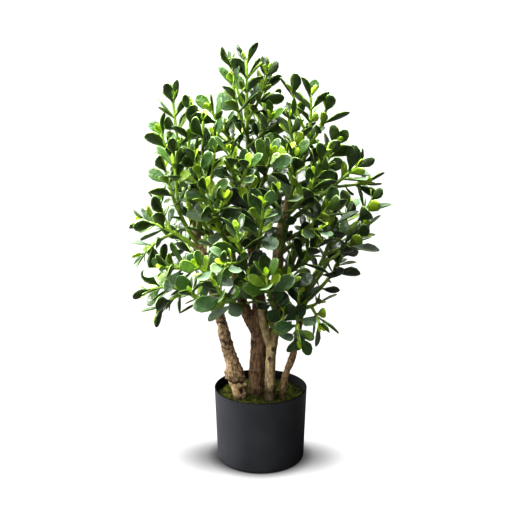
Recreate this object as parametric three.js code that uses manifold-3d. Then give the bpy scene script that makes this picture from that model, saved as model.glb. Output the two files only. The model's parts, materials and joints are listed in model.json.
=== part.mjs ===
// A jade bonsai in a round plastic pot, in millimetres, +Z up.
// The origin is the middle of the pot's foot, and the front of the plant faces -Y.
import * as THREE from 'three';
import { mergeVertices } from 'three/addons/utils/BufferGeometryUtils.js';
import Module from 'manifold-3d';

const wasm = await Module();
wasm.setup();

// ---------------------------------------------------------------- driving dimensions

const GAP = 0.3; // air between pieces that touch
const WELD = 1e-4; // points nearer than this are one point

const POT_HEIGHT = 120;
const RIM_RADIUS = 75;
const LIP_DROP = 7; // height of the band round the rim
const LIP_STEP = 0.6; // the band stands out from the body by this much
const FOOT_RADIUS = 71;
const RIM_ROUND = 0.8;
const FOOT_ROUND = 8;
// The rounded foot, as shares of FOOT_ROUND inwards and upwards.
const FOOT_CORNER = [[0.7, 0], [0.2, 0.35], [0, 1]];
const POT_WALL = 2.2;
const POT_FLOOR = 4;
const FLOOR_CORNER = 4; // the inner wall turns in by this much above the floor
const POT_SIDES = 32;

const SOIL_TOP = 97;
const MOSS_EDGE = 105; // height of the moss at the pot's wall
const MOSS_CROWN = 107; // and round the stems
const MOSS_RINGS = [0.35, 0.7, 1]; // shares of its radius
const MOSS_BUMP = 1.4;
const MOSS_WAVES = [[0.21, 0.19], [0.11, -0.31]]; // radians per millimetre across and along the pot
const MOSS_SIDES = 20;
const PLUG_BOTTOM = 60; // the stems stand this far down in the soil
const PLUG_TOP = 113;
const PLUG_CUTTER = 200; // length of the drill for a stem's hole

const STEM_SIDES = 4;
const STEM_BASE_RADIUS = 4.2;
const STEM_TIP_RADIUS = 2;
const SIDE_BASE_RADIUS = 2.4;
// A stem bends at this share of its way across and at this share of its rise.
const BEND_ACROSS = 0.68;
const BEND_UP = 0.36;
const LIMB_BLOCK = 1.08; // a limb's block is this much wider than the limb

const LEAF_LENGTH = 44;
const LEAF_WIDTH = 24.5;
const LEAF_KEEL = 3.4; // the underside swells to this depth
const LEAF_CLEARANCE = 0.45; // least distance from a leaf to anything but its own stem
// Half of the outline, as shares of the length and the width, from the heel to the tip.
const LEAF_OUTLINE = [[0, 0], [0.45, 0.45], [0.82, 0.45], [1, 0]];
const KEEL_ALONG = 0.42; // where along the leaf it is thickest
const LEAF_RISE = 0.05; // how much a leaf turns up
const LEAF_TWIST = 55; // most degrees that a leaf turns about its length
const LEAF_SIZES = [0.86, 1.14];
const LEAF_CURLS = [-0.1, 0.08]; // fall or rise of the tip, as a share of the length
// A leaf's face turns to the light, which comes from outside, from above and from along its stem.
const LIGHT_OUTSIDE = 0.6;
const LIGHT_ABOVE = 0.6;
const LIGHT_STEM = 0.4;

// Leaf pairs, counted from the tip of a shoot: how far they open, and how big they are.
const PAIR_OPENING = [30, 48, 60, 70, 76];
const PAIR_SIZE = [0.8, 0.96, 1.03, 1.05, 1.03];
const PAIR_FIRST = 4;
const PAIR_SPACING = 15.2;
const PAIR_STRETCH = 0.8;
const MAIN_LEAFY = 0.4; // share of a stem that carries leaves
const SIDE_LEAFY = 0.52;

// The wood: centre line and radius, [x, y, z, radius]. Each limb of one piece starts inside another.
const LIMBS = {
  left: {
    piece: 'trunk_left',
    line: [[-33.6, -12, PLUG_TOP - 2, 12.5], [-36.6, -10, 124, 12.8], [-42.4, -6, 143, 15],
      [-46.3, -2, 164, 10.2], [-55.5, 1, 190, 10], [-60.8, 2, 220, 8.1], [-69.5, 3, 250, 7.8],
      [-76, 5, 285, 8], [-85, 8, 320, 7.5], [-98, 11, 350, 6.5], [-103, 13, 378, 5.5]],
  },
  centre: {
    piece: 'trunk_centre',
    line: [[-6, 2, PLUG_TOP - 2, 14], [-6, 2, 140, 13.8], [-4.3, 1, 180, 13.2], [-2.5, 1, 208, 13],
      [0, 2, 232, 13.5], [-3, 5, 262, 11], [-9, 9, 295, 9], [-12, 12, 330, 8], [-17, 14, 370, 7],
      [-20, 15, 410, 6.5], [-20, 16, 445, 5.5]],
  },
  centre_left: {
    piece: 'trunk_centre',
    line: [[-5, 0, 206, 9], [-18, -3, 234, 9.5], [-29, -6, 262, 8], [-38, -8, 298, 6.5], [-44, -6, 332, 6],
      [-49, -2, 368, 5]],
  },
  front: {
    piece: 'trunk_front',
    line: [[15, -24, PLUG_TOP - 2, 9.3], [15, -22, 140, 8.8], [16, -18, 176, 8.3], [18, -14, 200, 9],
      [23, -10, 228, 8.2], [25.5, -6, 260, 8], [25, -2, 295, 8.5], [27, 1, 330, 9], [28, 4, 365, 7.5],
      [37, 7, 400, 6.5], [44, 9, 432, 5.5]],
  },
  front_left: {
    piece: 'trunk_front',
    line: [[15, -15, 190, 6], [9, -20, 214, 6.5], [3, -25, 238, 5.5], [0, -28, 262, 4.5]],
  },
  right: {
    piece: 'trunk_right',
    line: [[35, -14, PLUG_TOP - 2, 6], [38.5, -12, 138, 5.9], [48, -9, 164, 5.8], [55.5, -5, 190, 5.5],
      [61, -2, 222, 5.2], [66, 1, 255, 4.8], [72, 2, 285, 4.5]],
  },
};
const LIMB_SIDES = { left: 9, centre: 10, centre_left: 7, front: 9, front_left: 6, right: 7 };
const BARK_WAVE = 0.1; // how far the wood's section departs from round
const NEARLY_PARALLEL = 0.05; // edges this near to parallel have no clear normal between them

// The leafy stems. Each springs from a limb, at a station counted along its line, and runs to its tip.
// A stem springs outwards and turns up, or passes through the point via at its middle. Each side shoot
// leaves it at a share of its length and runs to a tip of its own. Leaves fill the leafy share of a stem,
// and the first pair stands at the angle phase round it.
const SPRAYS = [
  { limb: 'centre', at: 10, tip: [-22, 12, 634], sides: [[0.33, [-74, -10, 560]], [0.38, [13, -8, 548]],
    [0.48, [-42, -2, 600]], [0.68, [-46, 12, 626]], [0.6, [8, 4, 612]]] },
  { limb: 'centre', at: 9.3, tip: [6, 42, 590], sides: [] },
  { limb: 'left', at: 10, tip: [-134, 8, 576], sides: [[0.42, [-106, -4, 562]], [0.5, [-152, 2, 526]]] },
  { limb: 'left', at: 9.5, tip: [-86, -22, 545], sides: [[0.6, [-68, -32, 520]]] },
  { limb: 'left', at: 9.1, tip: [-144, -25, 474], sides: [[0.5, [-128, -46, 500]]] },
  { limb: 'centre_left', at: 5, tip: [-98, -45, 490], sides: [[0.6, [-68, -48, 500]]] },
  { limb: 'centre_left', at: 4.5, tip: [-80, -64, 450], leafy: 0.7, sides: [[0.6, [-55, -78, 436]]] },
  { limb: 'left', at: 8.7, tip: [-180, 0, 390], via: [-140, 2, 375], leafy: 0.7,
    sides: [[0.5, [-158, 8, 420]], [0.45, [-180, -16, 344]]] },
  { limb: 'left', at: 7.9, tip: [-146, -38, 326], leafy: 0.75, sides: [] },
  { limb: 'left', at: 5.4, tip: [-178, 0, 281], via: [-118, -2, 279], leafy: 0.8, phase: 0,
    sides: [[0.45, [-154, -6, 328]], [0.25, [-104, -52, 288]], [0.5, [-156, -22, 258]]] },
  { limb: 'centre_left', at: 3, tip: [-90, -92, 338], leafy: 0.7, sides: [] },
  { limb: 'centre_left', at: 1.8, tip: [-64, -98, 310], leafy: 0.7, sides: [] },
  { limb: 'centre', at: 5.6, tip: [-34, -95, 392], sides: [[0.6, [-50, -112, 348]]] },
  { limb: 'centre', at: 6.8, tip: [3, -92, 425], sides: [] },
  { limb: 'front', at: 4.6, tip: [8, -95, 325], sides: [] },
  { limb: 'front', at: 5.7, tip: [42, -70, 318], leafy: 0.7, sides: [] },
  { limb: 'front_left', at: 3, tip: [-18, -60, 308], leafy: 0.7, sides: [] },
  { limb: 'front', at: 6.9, tip: [51, -44, 494], sides: [[0.55, [80, -52, 466]], [0.4, [20, -62, 442]]] },
  { limb: 'front', at: 10, tip: [75, 8, 583], via: [70, 8, 503],
    sides: [[0.3, [42, -14, 548]], [0.5, [98, 0, 562]], [0.62, [48, 4, 586]]] },
  { limb: 'front', at: 9.3, tip: [112, -4, 510], sides: [[0.6, [96, -30, 498]]] },
  { limb: 'front', at: 8.4, tip: [146, 0, 476], via: [98, -4, 436],
    sides: [[0.35, [92, 32, 450]], [0.6, [162, 12, 450]]] },
  { limb: 'right', at: 6, tip: [112, -8, 425], via: [104, -4, 350],
    sides: [[0.3, [158, -6, 384]], [0.52, [170, -8, 426]], [0.42, [144, 34, 352]]] },
  { limb: 'front', at: 6.2, tip: [84, -32, 358], leafy: 0.7, sides: [] },
  { limb: 'front', at: 3.4, tip: [36, -46, 256], leafy: 0.8, sides: [] },
  { limb: 'right', at: 4.3, tip: [58, -40, 284], leafy: 0.8, sides: [] },
  { limb: 'right', at: 4.9, tip: [88, -28, 268], leafy: 0.85, phase: 0, sides: [[0.5, [90, -50, 240]]] },
  { limb: 'right', at: 3.5, tip: [58, -52, 217], via: [57, -42, 236], leafy: 0.6, phase: 0, sides: [] },
  { limb: 'front', at: 7.8, tip: [98, -52, 420], sides: [[0.5, [84, -64, 390]]] },
  { limb: 'centre', at: 8.6, tip: [-46, -55, 500], sides: [[0.6, [-20, -72, 480]]] },
  { limb: 'centre', at: 9.0, tip: [14, -55, 498], sides: [[0.6, [38, -48, 502]]] },
  { limb: 'front', at: 8.9, tip: [88, -45, 492], sides: [] },
  { limb: 'left', at: 9.3, tip: [-116, 72, 490], sides: [] },
  { limb: 'centre', at: 9.6, tip: [-58, 82, 530], sides: [[0.6, [-24, 92, 560]]] },
  { limb: 'centre', at: 9.0, tip: [0, 112, 535], sides: [] },
  { limb: 'front', at: 9.6, tip: [56, 82, 550], sides: [[0.55, [80, 92, 520]]] },
  { limb: 'front', at: 9.0, tip: [100, 78, 480], sides: [] },
  { limb: 'left', at: 8.9, tip: [-128, 76, 436], sides: [] },
  { limb: 'left', at: 7.8, tip: [-136, 92, 352], sides: [] },
  { limb: 'left', at: 8.4, tip: [-95, 135, 410], sides: [] },
  { limb: 'centre', at: 8.2, tip: [-45, 146, 455], sides: [] },
  { limb: 'centre', at: 7.5, tip: [18, 158, 415], sides: [] },
  { limb: 'front', at: 8.2, tip: [65, 140, 455], sides: [] },
  { limb: 'front', at: 7.2, tip: [105, 126, 390], sides: [] },
  { limb: 'right', at: 5.6, tip: [146, 75, 400], sides: [] },
  { limb: 'right', at: 5.1, tip: [136, 70, 322], sides: [] },
  { limb: 'front', at: 6.1, tip: [62, 130, 325], sides: [] },
  { limb: 'centre', at: 6.1, tip: [-18, 135, 341], sides: [] },
  { limb: 'left', at: 6.8, tip: [-85, 112, 305], sides: [] },
  { limb: 'centre_left', at: 3.7, tip: [-62, 62, 402], sides: [] },
  { limb: 'centre_left', at: 4.1, tip: [-88, -18, 392], leafy: 0.7, sides: [] },
  { limb: 'centre', at: 7.7, tip: [-12, -66, 446], leafy: 0.6, sides: [] },
];

const COLOURS = {
  pot: { color: 0x35373b, roughness: 0.5, metalness: 0 },
  soil: { color: 0x2a2119, roughness: 0.95, metalness: 0 },
  moss: { color: 0x3b3f1c, roughness: 0.95, metalness: 0 },
  bark: { color: 0x6d533d, roughness: 0.85, metalness: 0 },
  leaf: { color: 0x2f5a22, roughness: 0.35, metalness: 0 },
};

// ---------------------------------------------------------------- small helpers

const UP = new THREE.Vector3(0, 0, 1);

const vector = (list) => new THREE.Vector3(...list);
const radians = THREE.MathUtils.degToRad;

// A seeded row of numbers from 0 to 1 (Park and Miller's generator).
function dice(seed) {
  let state = seed * 7919 + 17;
  return () => {
    state = (state * 16807) % 2147483647;
    return state / 2147483647;
  };
}

function toSolid(geometry) {
  geometry.deleteAttribute('normal');
  geometry.deleteAttribute('uv');
  const merged = mergeVertices(geometry, WELD);
  const vertProperties = new Float32Array(merged.attributes.position.array);
  const triVerts = new Uint32Array(merged.index.array);
  return new wasm.Manifold(new wasm.Mesh({ numProp: 3, vertProperties, triVerts }));
}

function toGeometry(solid) {
  const mesh = solid.getMesh();
  const geometry = new THREE.BufferGeometry();
  geometry.setAttribute('position', new THREE.BufferAttribute(mesh.vertProperties, 3));
  geometry.setIndex(new THREE.BufferAttribute(mesh.triVerts, 1));
  geometry.computeVertexNormals();
  return geometry;
}

function piece(name, solid, finish) {
  const mesh = new THREE.Mesh(toGeometry(solid), new THREE.MeshStandardMaterial(COLOURS[finish]));
  mesh.name = name;
  return mesh;
}

// A closed cylinder whose rows of points are moved to rings round the stations of a path.
// wave(angle, row) scales the radius, so that wood need not be round.
function bentCylinder(stations, sides, wave = () => 1) {
  const rows = stations.length - 1;
  const geometry = new THREE.CylinderGeometry(1, 1, 1, sides, rows);
  const points = geometry.attributes.position;
  for (let i = 0; i < points.count; i += 1) {
    const row = Math.round((points.getY(i) + 0.5) * rows);
    const { centre, radius, side, front } = stations[row];
    const [x, z] = [points.getX(i), points.getZ(i)];
    const size = radius * wave(Math.atan2(z, x), row);
    const place = centre.clone().addScaledVector(side, x * size).addScaledVector(front, z * size);
    points.setXYZ(i, place.x, place.y, place.z);
  }
  return toSolid(geometry);
}

// ---------------------------------------------------------------- clearance between convex blocks

// A block is a convex solid: its corners, the directions across its faces and those along its edges.
function makeBlock(corners, faces, edges) {
  const middle = corners.reduce((sum, corner) => sum.add(corner), new THREE.Vector3());
  middle.divideScalar(corners.length);
  const reach = Math.max(...corners.map((corner) => corner.distanceTo(middle)));
  return { corners, faces, edges, middle, reach };
}

function partedAlong(direction, a, b, gap) {
  const alongA = a.corners.map((corner) => corner.dot(direction));
  const alongB = b.corners.map((corner) => corner.dot(direction));
  return Math.max(...alongA) + gap < Math.min(...alongB) || Math.max(...alongB) + gap < Math.min(...alongA);
}

// Two convex blocks are clear of each other if they part along some direction.
function areApart(a, b, gap) {
  const between = b.middle.clone().sub(a.middle);
  if (between.length() > a.reach + b.reach + gap) return true;
  const directions = [between, ...a.faces, ...b.faces];
  for (const edgeA of a.edges) {
    for (const edgeB of b.edges) directions.push(edgeA.clone().cross(edgeB));
  }
  return directions.some((direction) => {
    const size = direction.length();
    return size > NEARLY_PARALLEL && partedAlong(direction.clone().divideScalar(size), a, b, gap);
  });
}

// ---------------------------------------------------------------- paths of wood and stems

// Rings stand square to the path; side and front span each ring, with side x along = front.
function ringAt(centre, radius, along, side) {
  const front = side.clone().cross(along).normalize();
  return { centre, radius, side, front, along };
}

function limbStations(line, extra = 0) {
  const centres = line.map(([x, y, z]) => new THREE.Vector3(x, y, z));
  return line.map(([, , , radius], i) => {
    const next = centres[Math.min(i + 1, line.length - 1)];
    const last = centres[Math.max(i - 1, 0)];
    const along = next.clone().sub(last).normalize();
    const side = new THREE.Vector3(0, 1, 0).cross(along).normalize();
    const centre = centres[i].clone();
    if (i === line.length - 1) centre.addScaledVector(along, extra);
    return ringAt(centre, radius + extra, along, side);
  });
}

function blocksAlong(stations, slack) {
  return stations.slice(1).map((end, i) => {
    const start = stations[i];
    const corners = [];
    for (const ring of [start, end]) {
      const half = ring.radius * slack;
      for (const [x, z] of [[1, 1], [1, -1], [-1, 1], [-1, -1]]) {
        const across = ring.side.clone().multiplyScalar(x * half);
        corners.push(ring.centre.clone().add(across).addScaledVector(ring.front, z * half));
      }
    }
    const along = end.centre.clone().sub(start.centre).normalize();
    return makeBlock(corners, [start.side, start.front, end.side, end.front, along], [along]);
  });
}

// ---------------------------------------------------------------- pot, soil and moss

function turned(profile, sides) {
  const points = profile.map(([radius, height]) => new THREE.Vector2(radius, height));
  const geometry = new THREE.LatheGeometry(points, sides);
  geometry.rotateX(Math.PI / 2); // the lathe turns about Y, the pot about Z
  return geometry;
}

// Outer radius of the pot's body at a height; it widens evenly from the foot to the lip.
function bodyRadius(height) {
  return THREE.MathUtils.mapLinear(height, 0, POT_HEIGHT - LIP_DROP, FOOT_RADIUS, RIM_RADIUS - LIP_STEP);
}

// The fill is as wide as the flats of the pot's inner wall let it be.
function fillRadius(height) {
  return (bodyRadius(height) - POT_WALL) * Math.cos(Math.PI / POT_SIDES) - GAP;
}

function potSolid() {
  const lipFoot = POT_HEIGHT - LIP_DROP;
  const brow = POT_HEIGHT - RIM_ROUND;
  const foot = FOOT_CORNER.map(([inwards, upwards]) => {
    const height = FOOT_ROUND * upwards;
    return [bodyRadius(height) - FOOT_ROUND * inwards, height];
  });
  const rim = [
    [bodyRadius(lipFoot), lipFoot - LIP_STEP], [RIM_RADIUS, lipFoot], [RIM_RADIUS, brow],
    [RIM_RADIUS - RIM_ROUND, POT_HEIGHT],
  ];
  const inside = [
    [RIM_RADIUS - POT_WALL, brow], [bodyRadius(lipFoot) - POT_WALL, lipFoot],
    [bodyRadius(FOOT_ROUND) - POT_WALL, FOOT_ROUND],
    [bodyRadius(POT_FLOOR) - POT_WALL - FLOOR_CORNER, POT_FLOOR],
  ];
  return toSolid(turned([[0, 0], ...foot, ...rim, ...inside, [0, POT_FLOOR]], POT_SIDES));
}

function plugHoles() {
  const holes = ['left', 'centre', 'front', 'right'].map((name) => {
    const [x, y, , radius] = LIMBS[name].line[0];
    const geometry = new THREE.CylinderGeometry(radius + GAP, radius + GAP, PLUG_CUTTER, LIMB_SIDES[name]);
    geometry.rotateX(Math.PI / 2);
    geometry.translate(x, y, PLUG_BOTTOM - GAP + PLUG_CUTTER / 2);
    return toSolid(geometry);
  });
  return holes.reduce((sum, hole) => sum.add(hole));
}

function soilSolid(holes) {
  const floor = POT_FLOOR + GAP;
  const foot = FOOT_ROUND + GAP;
  const profile = [
    [0, floor], [fillRadius(floor) - FLOOR_CORNER - GAP, floor], [fillRadius(foot), foot],
    [fillRadius(SOIL_TOP), SOIL_TOP], [0, SOIL_TOP],
  ];
  return toSolid(turned(profile, POT_SIDES)).subtract(holes);
}

// The moss is a low bed: flat below, and above it swells towards the stems in uneven cushions.
function mossSolid(holes) {
  const radius = fillRadius(SOIL_TOP);
  const profile = [[0, SOIL_TOP + GAP], [radius, SOIL_TOP + GAP]];
  for (const share of [...MOSS_RINGS].reverse()) {
    profile.push([radius * share, THREE.MathUtils.lerp(MOSS_CROWN, MOSS_EDGE, share * share)]);
  }
  profile.push([0, MOSS_CROWN]);
  const geometry = turned(profile, MOSS_SIDES);
  const points = geometry.attributes.position;
  const [large, small] = MOSS_WAVES;
  for (let i = 0; i < points.count; i += 1) {
    const [x, y, z] = [points.getX(i), points.getY(i), points.getZ(i)];
    if (z > SOIL_TOP + 1) {
      const ripple = 0.5 * Math.sin(x * small[0] + y * small[1]);
      const swell = Math.sin(x * large[0] + 1) * Math.cos(y * large[1]) + ripple;
      points.setZ(i, z + MOSS_BUMP * swell);
    }
  }
  return toSolid(geometry).subtract(holes);
}

// ---------------------------------------------------------------- wood

const barkWave = (angle, row) => 1 + BARK_WAVE * Math.sin(2 * angle + row) * Math.cos(3 * angle - 2 * row);

function plugStations(name) {
  const [x, y, , radius] = LIMBS[name].line[0];
  const along = UP.clone();
  const side = new THREE.Vector3(1, 0, 0);
  return [PLUG_BOTTOM, PLUG_TOP].map((z) => ringAt(new THREE.Vector3(x, y, z), radius, along, side));
}

// One piece of wood: its limbs joined, with a plain round plug below where it stands in the soil.
function trunkSolid(trunk, extra) {
  const names = Object.keys(LIMBS).filter((name) => LIMBS[name].piece === trunk);
  const limbs = names.map((name) => {
    const stations = limbStations(LIMBS[name].line, extra);
    return bentCylinder(stations, LIMB_SIDES[name], barkWave);
  });
  if (extra === 0) limbs.push(bentCylinder(plugStations(names[0]), LIMB_SIDES[names[0]]));
  return limbs.reduce((sum, limb) => sum.add(limb));
}

// ---------------------------------------------------------------- stems and leaves

function limbPoint(name, station) {
  const { line } = LIMBS[name];
  const i = Math.min(Math.floor(station), line.length - 2);
  return vector(line[i].slice(0, 3)).lerp(vector(line[i + 1].slice(0, 3)), station - i);
}

// A shoot's ring is turned so that its flat sides face the leaves, the first pair of them at phase.
function makeShoot(start, tip, via, baseRadius, rows, phase) {
  const middle = start.clone().add(tip).multiplyScalar(0.5);
  const bend = new THREE.Vector3(
    THREE.MathUtils.lerp(start.x, tip.x, BEND_ACROSS),
    THREE.MathUtils.lerp(start.y, tip.y, BEND_ACROSS),
    THREE.MathUtils.lerp(start.z, tip.z, BEND_UP),
  );
  if (via) bend.copy(vector(via).multiplyScalar(2).sub(middle));
  const square = bend.clone().sub(start).cross(tip.clone().sub(start)).normalize();
  const length = (start.distanceTo(bend) + bend.distanceTo(tip) + start.distanceTo(tip)) / 2;
  const shoot = { curve: new THREE.QuadraticBezierCurve3(start, bend, tip), square, length, phase };
  shoot.stations = [];
  for (let row = 0; row <= rows; row += 1) {
    const t = row / rows;
    const radius = THREE.MathUtils.lerp(baseRadius, STEM_TIP_RADIUS, t);
    const along = heading(shoot, t);
    const side = outwards(shoot, t, phase + Math.PI / 4);
    shoot.stations.push(ringAt(shoot.curve.getPoint(t), radius, along, side));
  }
  return shoot;
}

function heading(shoot, t) {
  const { v0, v1, v2 } = shoot.curve;
  const first = v1.clone().sub(v0).multiplyScalar(1 - t);
  return first.addScaledVector(v2.clone().sub(v1), t).normalize();
}

// The middle of the stem at t, on the straight between two of its rings.
function stemPoint(shoot, t) {
  const rows = shoot.stations.length - 1;
  const row = Math.min(Math.floor(t * rows), rows - 1);
  return shoot.stations[row].centre.clone().lerp(shoot.stations[row + 1].centre, t * rows - row);
}

// The direction square to the stem at t that stands at the angle azimuth round it.
function outwards(shoot, t, azimuth) {
  const front = shoot.square.clone().cross(heading(shoot, t));
  return shoot.square.clone().multiplyScalar(Math.cos(azimuth)).addScaledVector(front, Math.sin(azimuth));
}

function makeSpray(row, number) {
  const draw = dice(number + 1);
  const start = limbPoint(row.limb, row.at);
  const phase = row.phase ?? draw() * Math.PI;
  const main = makeShoot(start, vector(row.tip), row.via, STEM_BASE_RADIUS, 3, phase);
  main.leafy = row.leafy ?? MAIN_LEAFY;
  const shoots = [main];
  for (const [share, tip] of row.sides) {
    const fork = stemPoint(main, share);
    const side = makeShoot(fork, vector(tip), null, SIDE_BASE_RADIUS, 2, draw() * Math.PI);
    side.leafy = SIDE_LEAFY;
    shoots.push(side);
  }
  return { piece: LIMBS[row.limb].piece, draw, shoots, leaves: [] };
}

// A leaf stands on its stem's centre line. Its face turns to the light, up and away from the trunk.
function poseLeaf(shoot, t, azimuth, opening, twist, size, curl) {
  const base = stemPoint(shoot, t);
  const stem = heading(shoot, t);
  const along = stem.clone().multiplyScalar(Math.cos(opening));
  along.addScaledVector(outwards(shoot, t, azimuth), Math.sin(opening));
  along.addScaledVector(UP, LEAF_RISE).normalize();
  const light = new THREE.Vector3(base.x, base.y, 0).normalize().multiplyScalar(LIGHT_OUTSIDE);
  light.addScaledVector(UP, LIGHT_ABOVE).addScaledVector(stem, LIGHT_STEM);
  const up = light.addScaledVector(along, -light.dot(along)).normalize();
  up.applyAxisAngle(along, twist);
  const side = along.clone().cross(up);
  return { base, along, up, side, length: LEAF_LENGTH * size, width: LEAF_WIDTH * size, size, curl };
}

// The blade bends up or down along its length by its curl.
function leafPoint(leaf, a, b, depth) {
  const rise = leaf.curl * leaf.length * a * a - depth * leaf.size;
  return leaf.base.clone().addScaledVector(leaf.along, a * leaf.length)
    .addScaledVector(leaf.side, b * leaf.width).addScaledVector(leaf.up, rise);
}

// Up one edge from the heel, round the tip and down the other, and last the keel.
function leafCorners(leaf) {
  const right = LEAF_OUTLINE.map(([a, b]) => leafPoint(leaf, a, b, 0));
  const left = LEAF_OUTLINE.slice(1, -1).map(([a, b]) => leafPoint(leaf, a, -b, 0)).reverse();
  return [...right, ...left, leafPoint(leaf, KEEL_ALONG, 0, LEAF_KEEL)];
}

function leafBlock(leaf) {
  const faces = [leaf.up, leaf.along, leaf.side];
  for (const i of [1, 3]) {
    const rise = (LEAF_OUTLINE[i][0] - LEAF_OUTLINE[i - 1][0]) * leaf.length;
    const run = (LEAF_OUTLINE[i][1] - LEAF_OUTLINE[i - 1][1]) * leaf.width;
    for (const hand of [1, -1]) {
      faces.push(leaf.along.clone().multiplyScalar(-run).addScaledVector(leaf.side, hand * rise));
    }
  }
  return makeBlock(leafCorners(leaf), faces, [leaf.along, leaf.side]);
}

// The face is a strip of triangles across the blade, and the underside a fan round the keel.
function leafSolid(leaf) {
  const corners = leafCorners(leaf);
  const keel = corners.length - 1;
  const triangles = [];
  for (let k = 0; k < keel; k += 1) triangles.push((k + 1) % keel, k, keel);
  triangles.push(0, 1, keel - 1);
  for (let k = 1; 2 * k < keel - 1; k += 1) {
    triangles.push(k, k + 1, keel - k);
    if (2 * k < keel - 2) triangles.push(keel - k, k + 1, keel - k - 1);
  }
  const geometry = new THREE.BufferGeometry().setFromPoints(corners);
  geometry.setIndex(triangles);
  return toSolid(geometry);
}

// Ways to try a leaf: degrees swung round the stem, degrees opened further, and share of its size.
const TRIES = [[0, 0, 1], [20, 0, 1], [-20, 0, 1], [0, -13, 1], [0, 14, 1], [38, 0, 0.9], [-38, 0, 0.9],
  [0, -20, 0.8], [0, 0, 0.75]];

// Pairs of leaves stand crosswise up each shoot. A leaf that meets anything is swung, or else left out.
function growLeaves(sprays) {
  const placed = [];
  for (const { line } of Object.values(LIMBS)) {
    for (const block of blocksAlong(limbStations(line), LIMB_BLOCK)) placed.push({ block });
  }
  for (const { shoots } of sprays) {
    for (const shoot of shoots) {
      for (const block of blocksAlong(shoot.stations, 1)) placed.push({ block, stem: shoot });
    }
  }
  for (const spray of sprays) {
    const { draw } = spray;
    for (const shoot of spray.shoots) {
      for (let pair = 0; ; pair += 1) {
        const back = PAIR_FIRST + PAIR_SPACING * pair + PAIR_STRETCH * pair * pair;
        if (back > shoot.leafy * shoot.length) break;
        const rank = Math.min(pair, PAIR_SIZE.length - 1);
        const t = 1 - back / shoot.length;
        for (const half of [0, 180]) {
          const size = PAIR_SIZE[rank] * THREE.MathUtils.lerp(...LEAF_SIZES, draw());
          const twist = radians(LEAF_TWIST * (2 * draw() - 1));
          const curl = THREE.MathUtils.lerp(...LEAF_CURLS, draw());
          for (const [swing, open, shrink] of TRIES) {
            const azimuth = shoot.phase + radians(90 * pair + half + swing);
            const opening = radians(PAIR_OPENING[rank] + open);
            const leaf = poseLeaf(shoot, t, azimuth, opening, twist, size * shrink, curl);
            const block = leafBlock(leaf);
            const clear = placed.every((other) => (other.stem === shoot)
              || (other.shoot === shoot && other.pair === pair)
              || areApart(block, other.block, LEAF_CLEARANCE));
            if (clear) {
              placed.push({ block, shoot, pair });
              spray.leaves.push(leaf);
              break;
            }
          }
        }
      }
    }
  }
}

function spraySolid(spray, grownTrunk) {
  let solid = null;
  for (const shoot of spray.shoots) {
    const stem = bentCylinder(shoot.stations, STEM_SIDES);
    solid = solid ? solid.add(stem) : stem;
  }
  for (const leaf of spray.leaves) solid = solid.add(leafSolid(leaf));
  return solid.subtract(grownTrunk);
}

// ---------------------------------------------------------------- the whole plant

const bonsai = new THREE.Group();
bonsai.name = 'jade_bonsai';

const holes = plugHoles();
bonsai.add(piece('pot', potSolid(), 'pot'));
bonsai.add(piece('soil', soilSolid(holes), 'soil'));
bonsai.add(piece('moss', mossSolid(holes), 'moss'));

const grownTrunks = {};
for (const trunk of ['trunk_left', 'trunk_centre', 'trunk_front', 'trunk_right']) {
  bonsai.add(piece(trunk, trunkSolid(trunk, 0), 'bark'));
  grownTrunks[trunk] = trunkSolid(trunk, GAP);
}

const sprays = SPRAYS.map(makeSpray);
growLeaves(sprays);
sprays.forEach((spray, i) => {
  const name = `spray_${String(i + 1).padStart(2, '0')}`;
  bonsai.add(piece(name, spraySolid(spray, grownTrunks[spray.piece]), 'leaf'));
});

export default bonsai;
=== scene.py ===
# %% [markdown]
# # A jade tree in a black pot
#
# The solids of this plant are already packed: a pot, soil, moss, four pieces of wood and fifty-one leafy
# sprays, each with plain six-cornered leaves. This notebook dresses them. The pot gets round edges and
# satin plastic, the wood its bark, the moss its tufts, and every spray its smooth stems, thick rounded
# leaves and young tips. The leaves stand where the solids have them, so the rule that placed them is
# repeated here.

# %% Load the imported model
import json
import math

import bpy
import numpy as np
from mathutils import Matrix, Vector, noise

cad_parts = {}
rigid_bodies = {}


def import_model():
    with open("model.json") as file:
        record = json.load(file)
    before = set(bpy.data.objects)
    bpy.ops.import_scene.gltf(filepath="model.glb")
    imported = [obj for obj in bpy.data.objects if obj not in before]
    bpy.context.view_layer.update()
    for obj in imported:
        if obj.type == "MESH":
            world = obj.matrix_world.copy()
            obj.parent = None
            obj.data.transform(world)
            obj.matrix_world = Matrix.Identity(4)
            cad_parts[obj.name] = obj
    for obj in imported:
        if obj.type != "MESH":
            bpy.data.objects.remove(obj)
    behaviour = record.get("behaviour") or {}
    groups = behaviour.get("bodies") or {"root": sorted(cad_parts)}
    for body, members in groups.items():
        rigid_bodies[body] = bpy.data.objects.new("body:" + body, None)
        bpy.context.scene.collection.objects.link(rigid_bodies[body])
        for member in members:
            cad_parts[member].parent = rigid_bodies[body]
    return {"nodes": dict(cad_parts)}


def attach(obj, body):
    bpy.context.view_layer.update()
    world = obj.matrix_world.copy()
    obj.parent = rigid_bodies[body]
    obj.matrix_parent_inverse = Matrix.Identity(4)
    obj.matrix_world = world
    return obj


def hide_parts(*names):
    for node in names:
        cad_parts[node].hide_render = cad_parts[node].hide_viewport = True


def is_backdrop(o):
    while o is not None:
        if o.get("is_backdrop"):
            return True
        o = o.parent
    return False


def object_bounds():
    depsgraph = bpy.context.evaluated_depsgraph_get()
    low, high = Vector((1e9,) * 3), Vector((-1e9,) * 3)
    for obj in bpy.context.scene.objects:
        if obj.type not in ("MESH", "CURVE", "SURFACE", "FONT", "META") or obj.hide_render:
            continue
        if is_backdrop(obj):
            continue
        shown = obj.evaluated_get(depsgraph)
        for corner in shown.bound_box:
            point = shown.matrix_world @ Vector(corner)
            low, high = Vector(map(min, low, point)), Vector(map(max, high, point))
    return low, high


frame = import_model()
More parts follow.
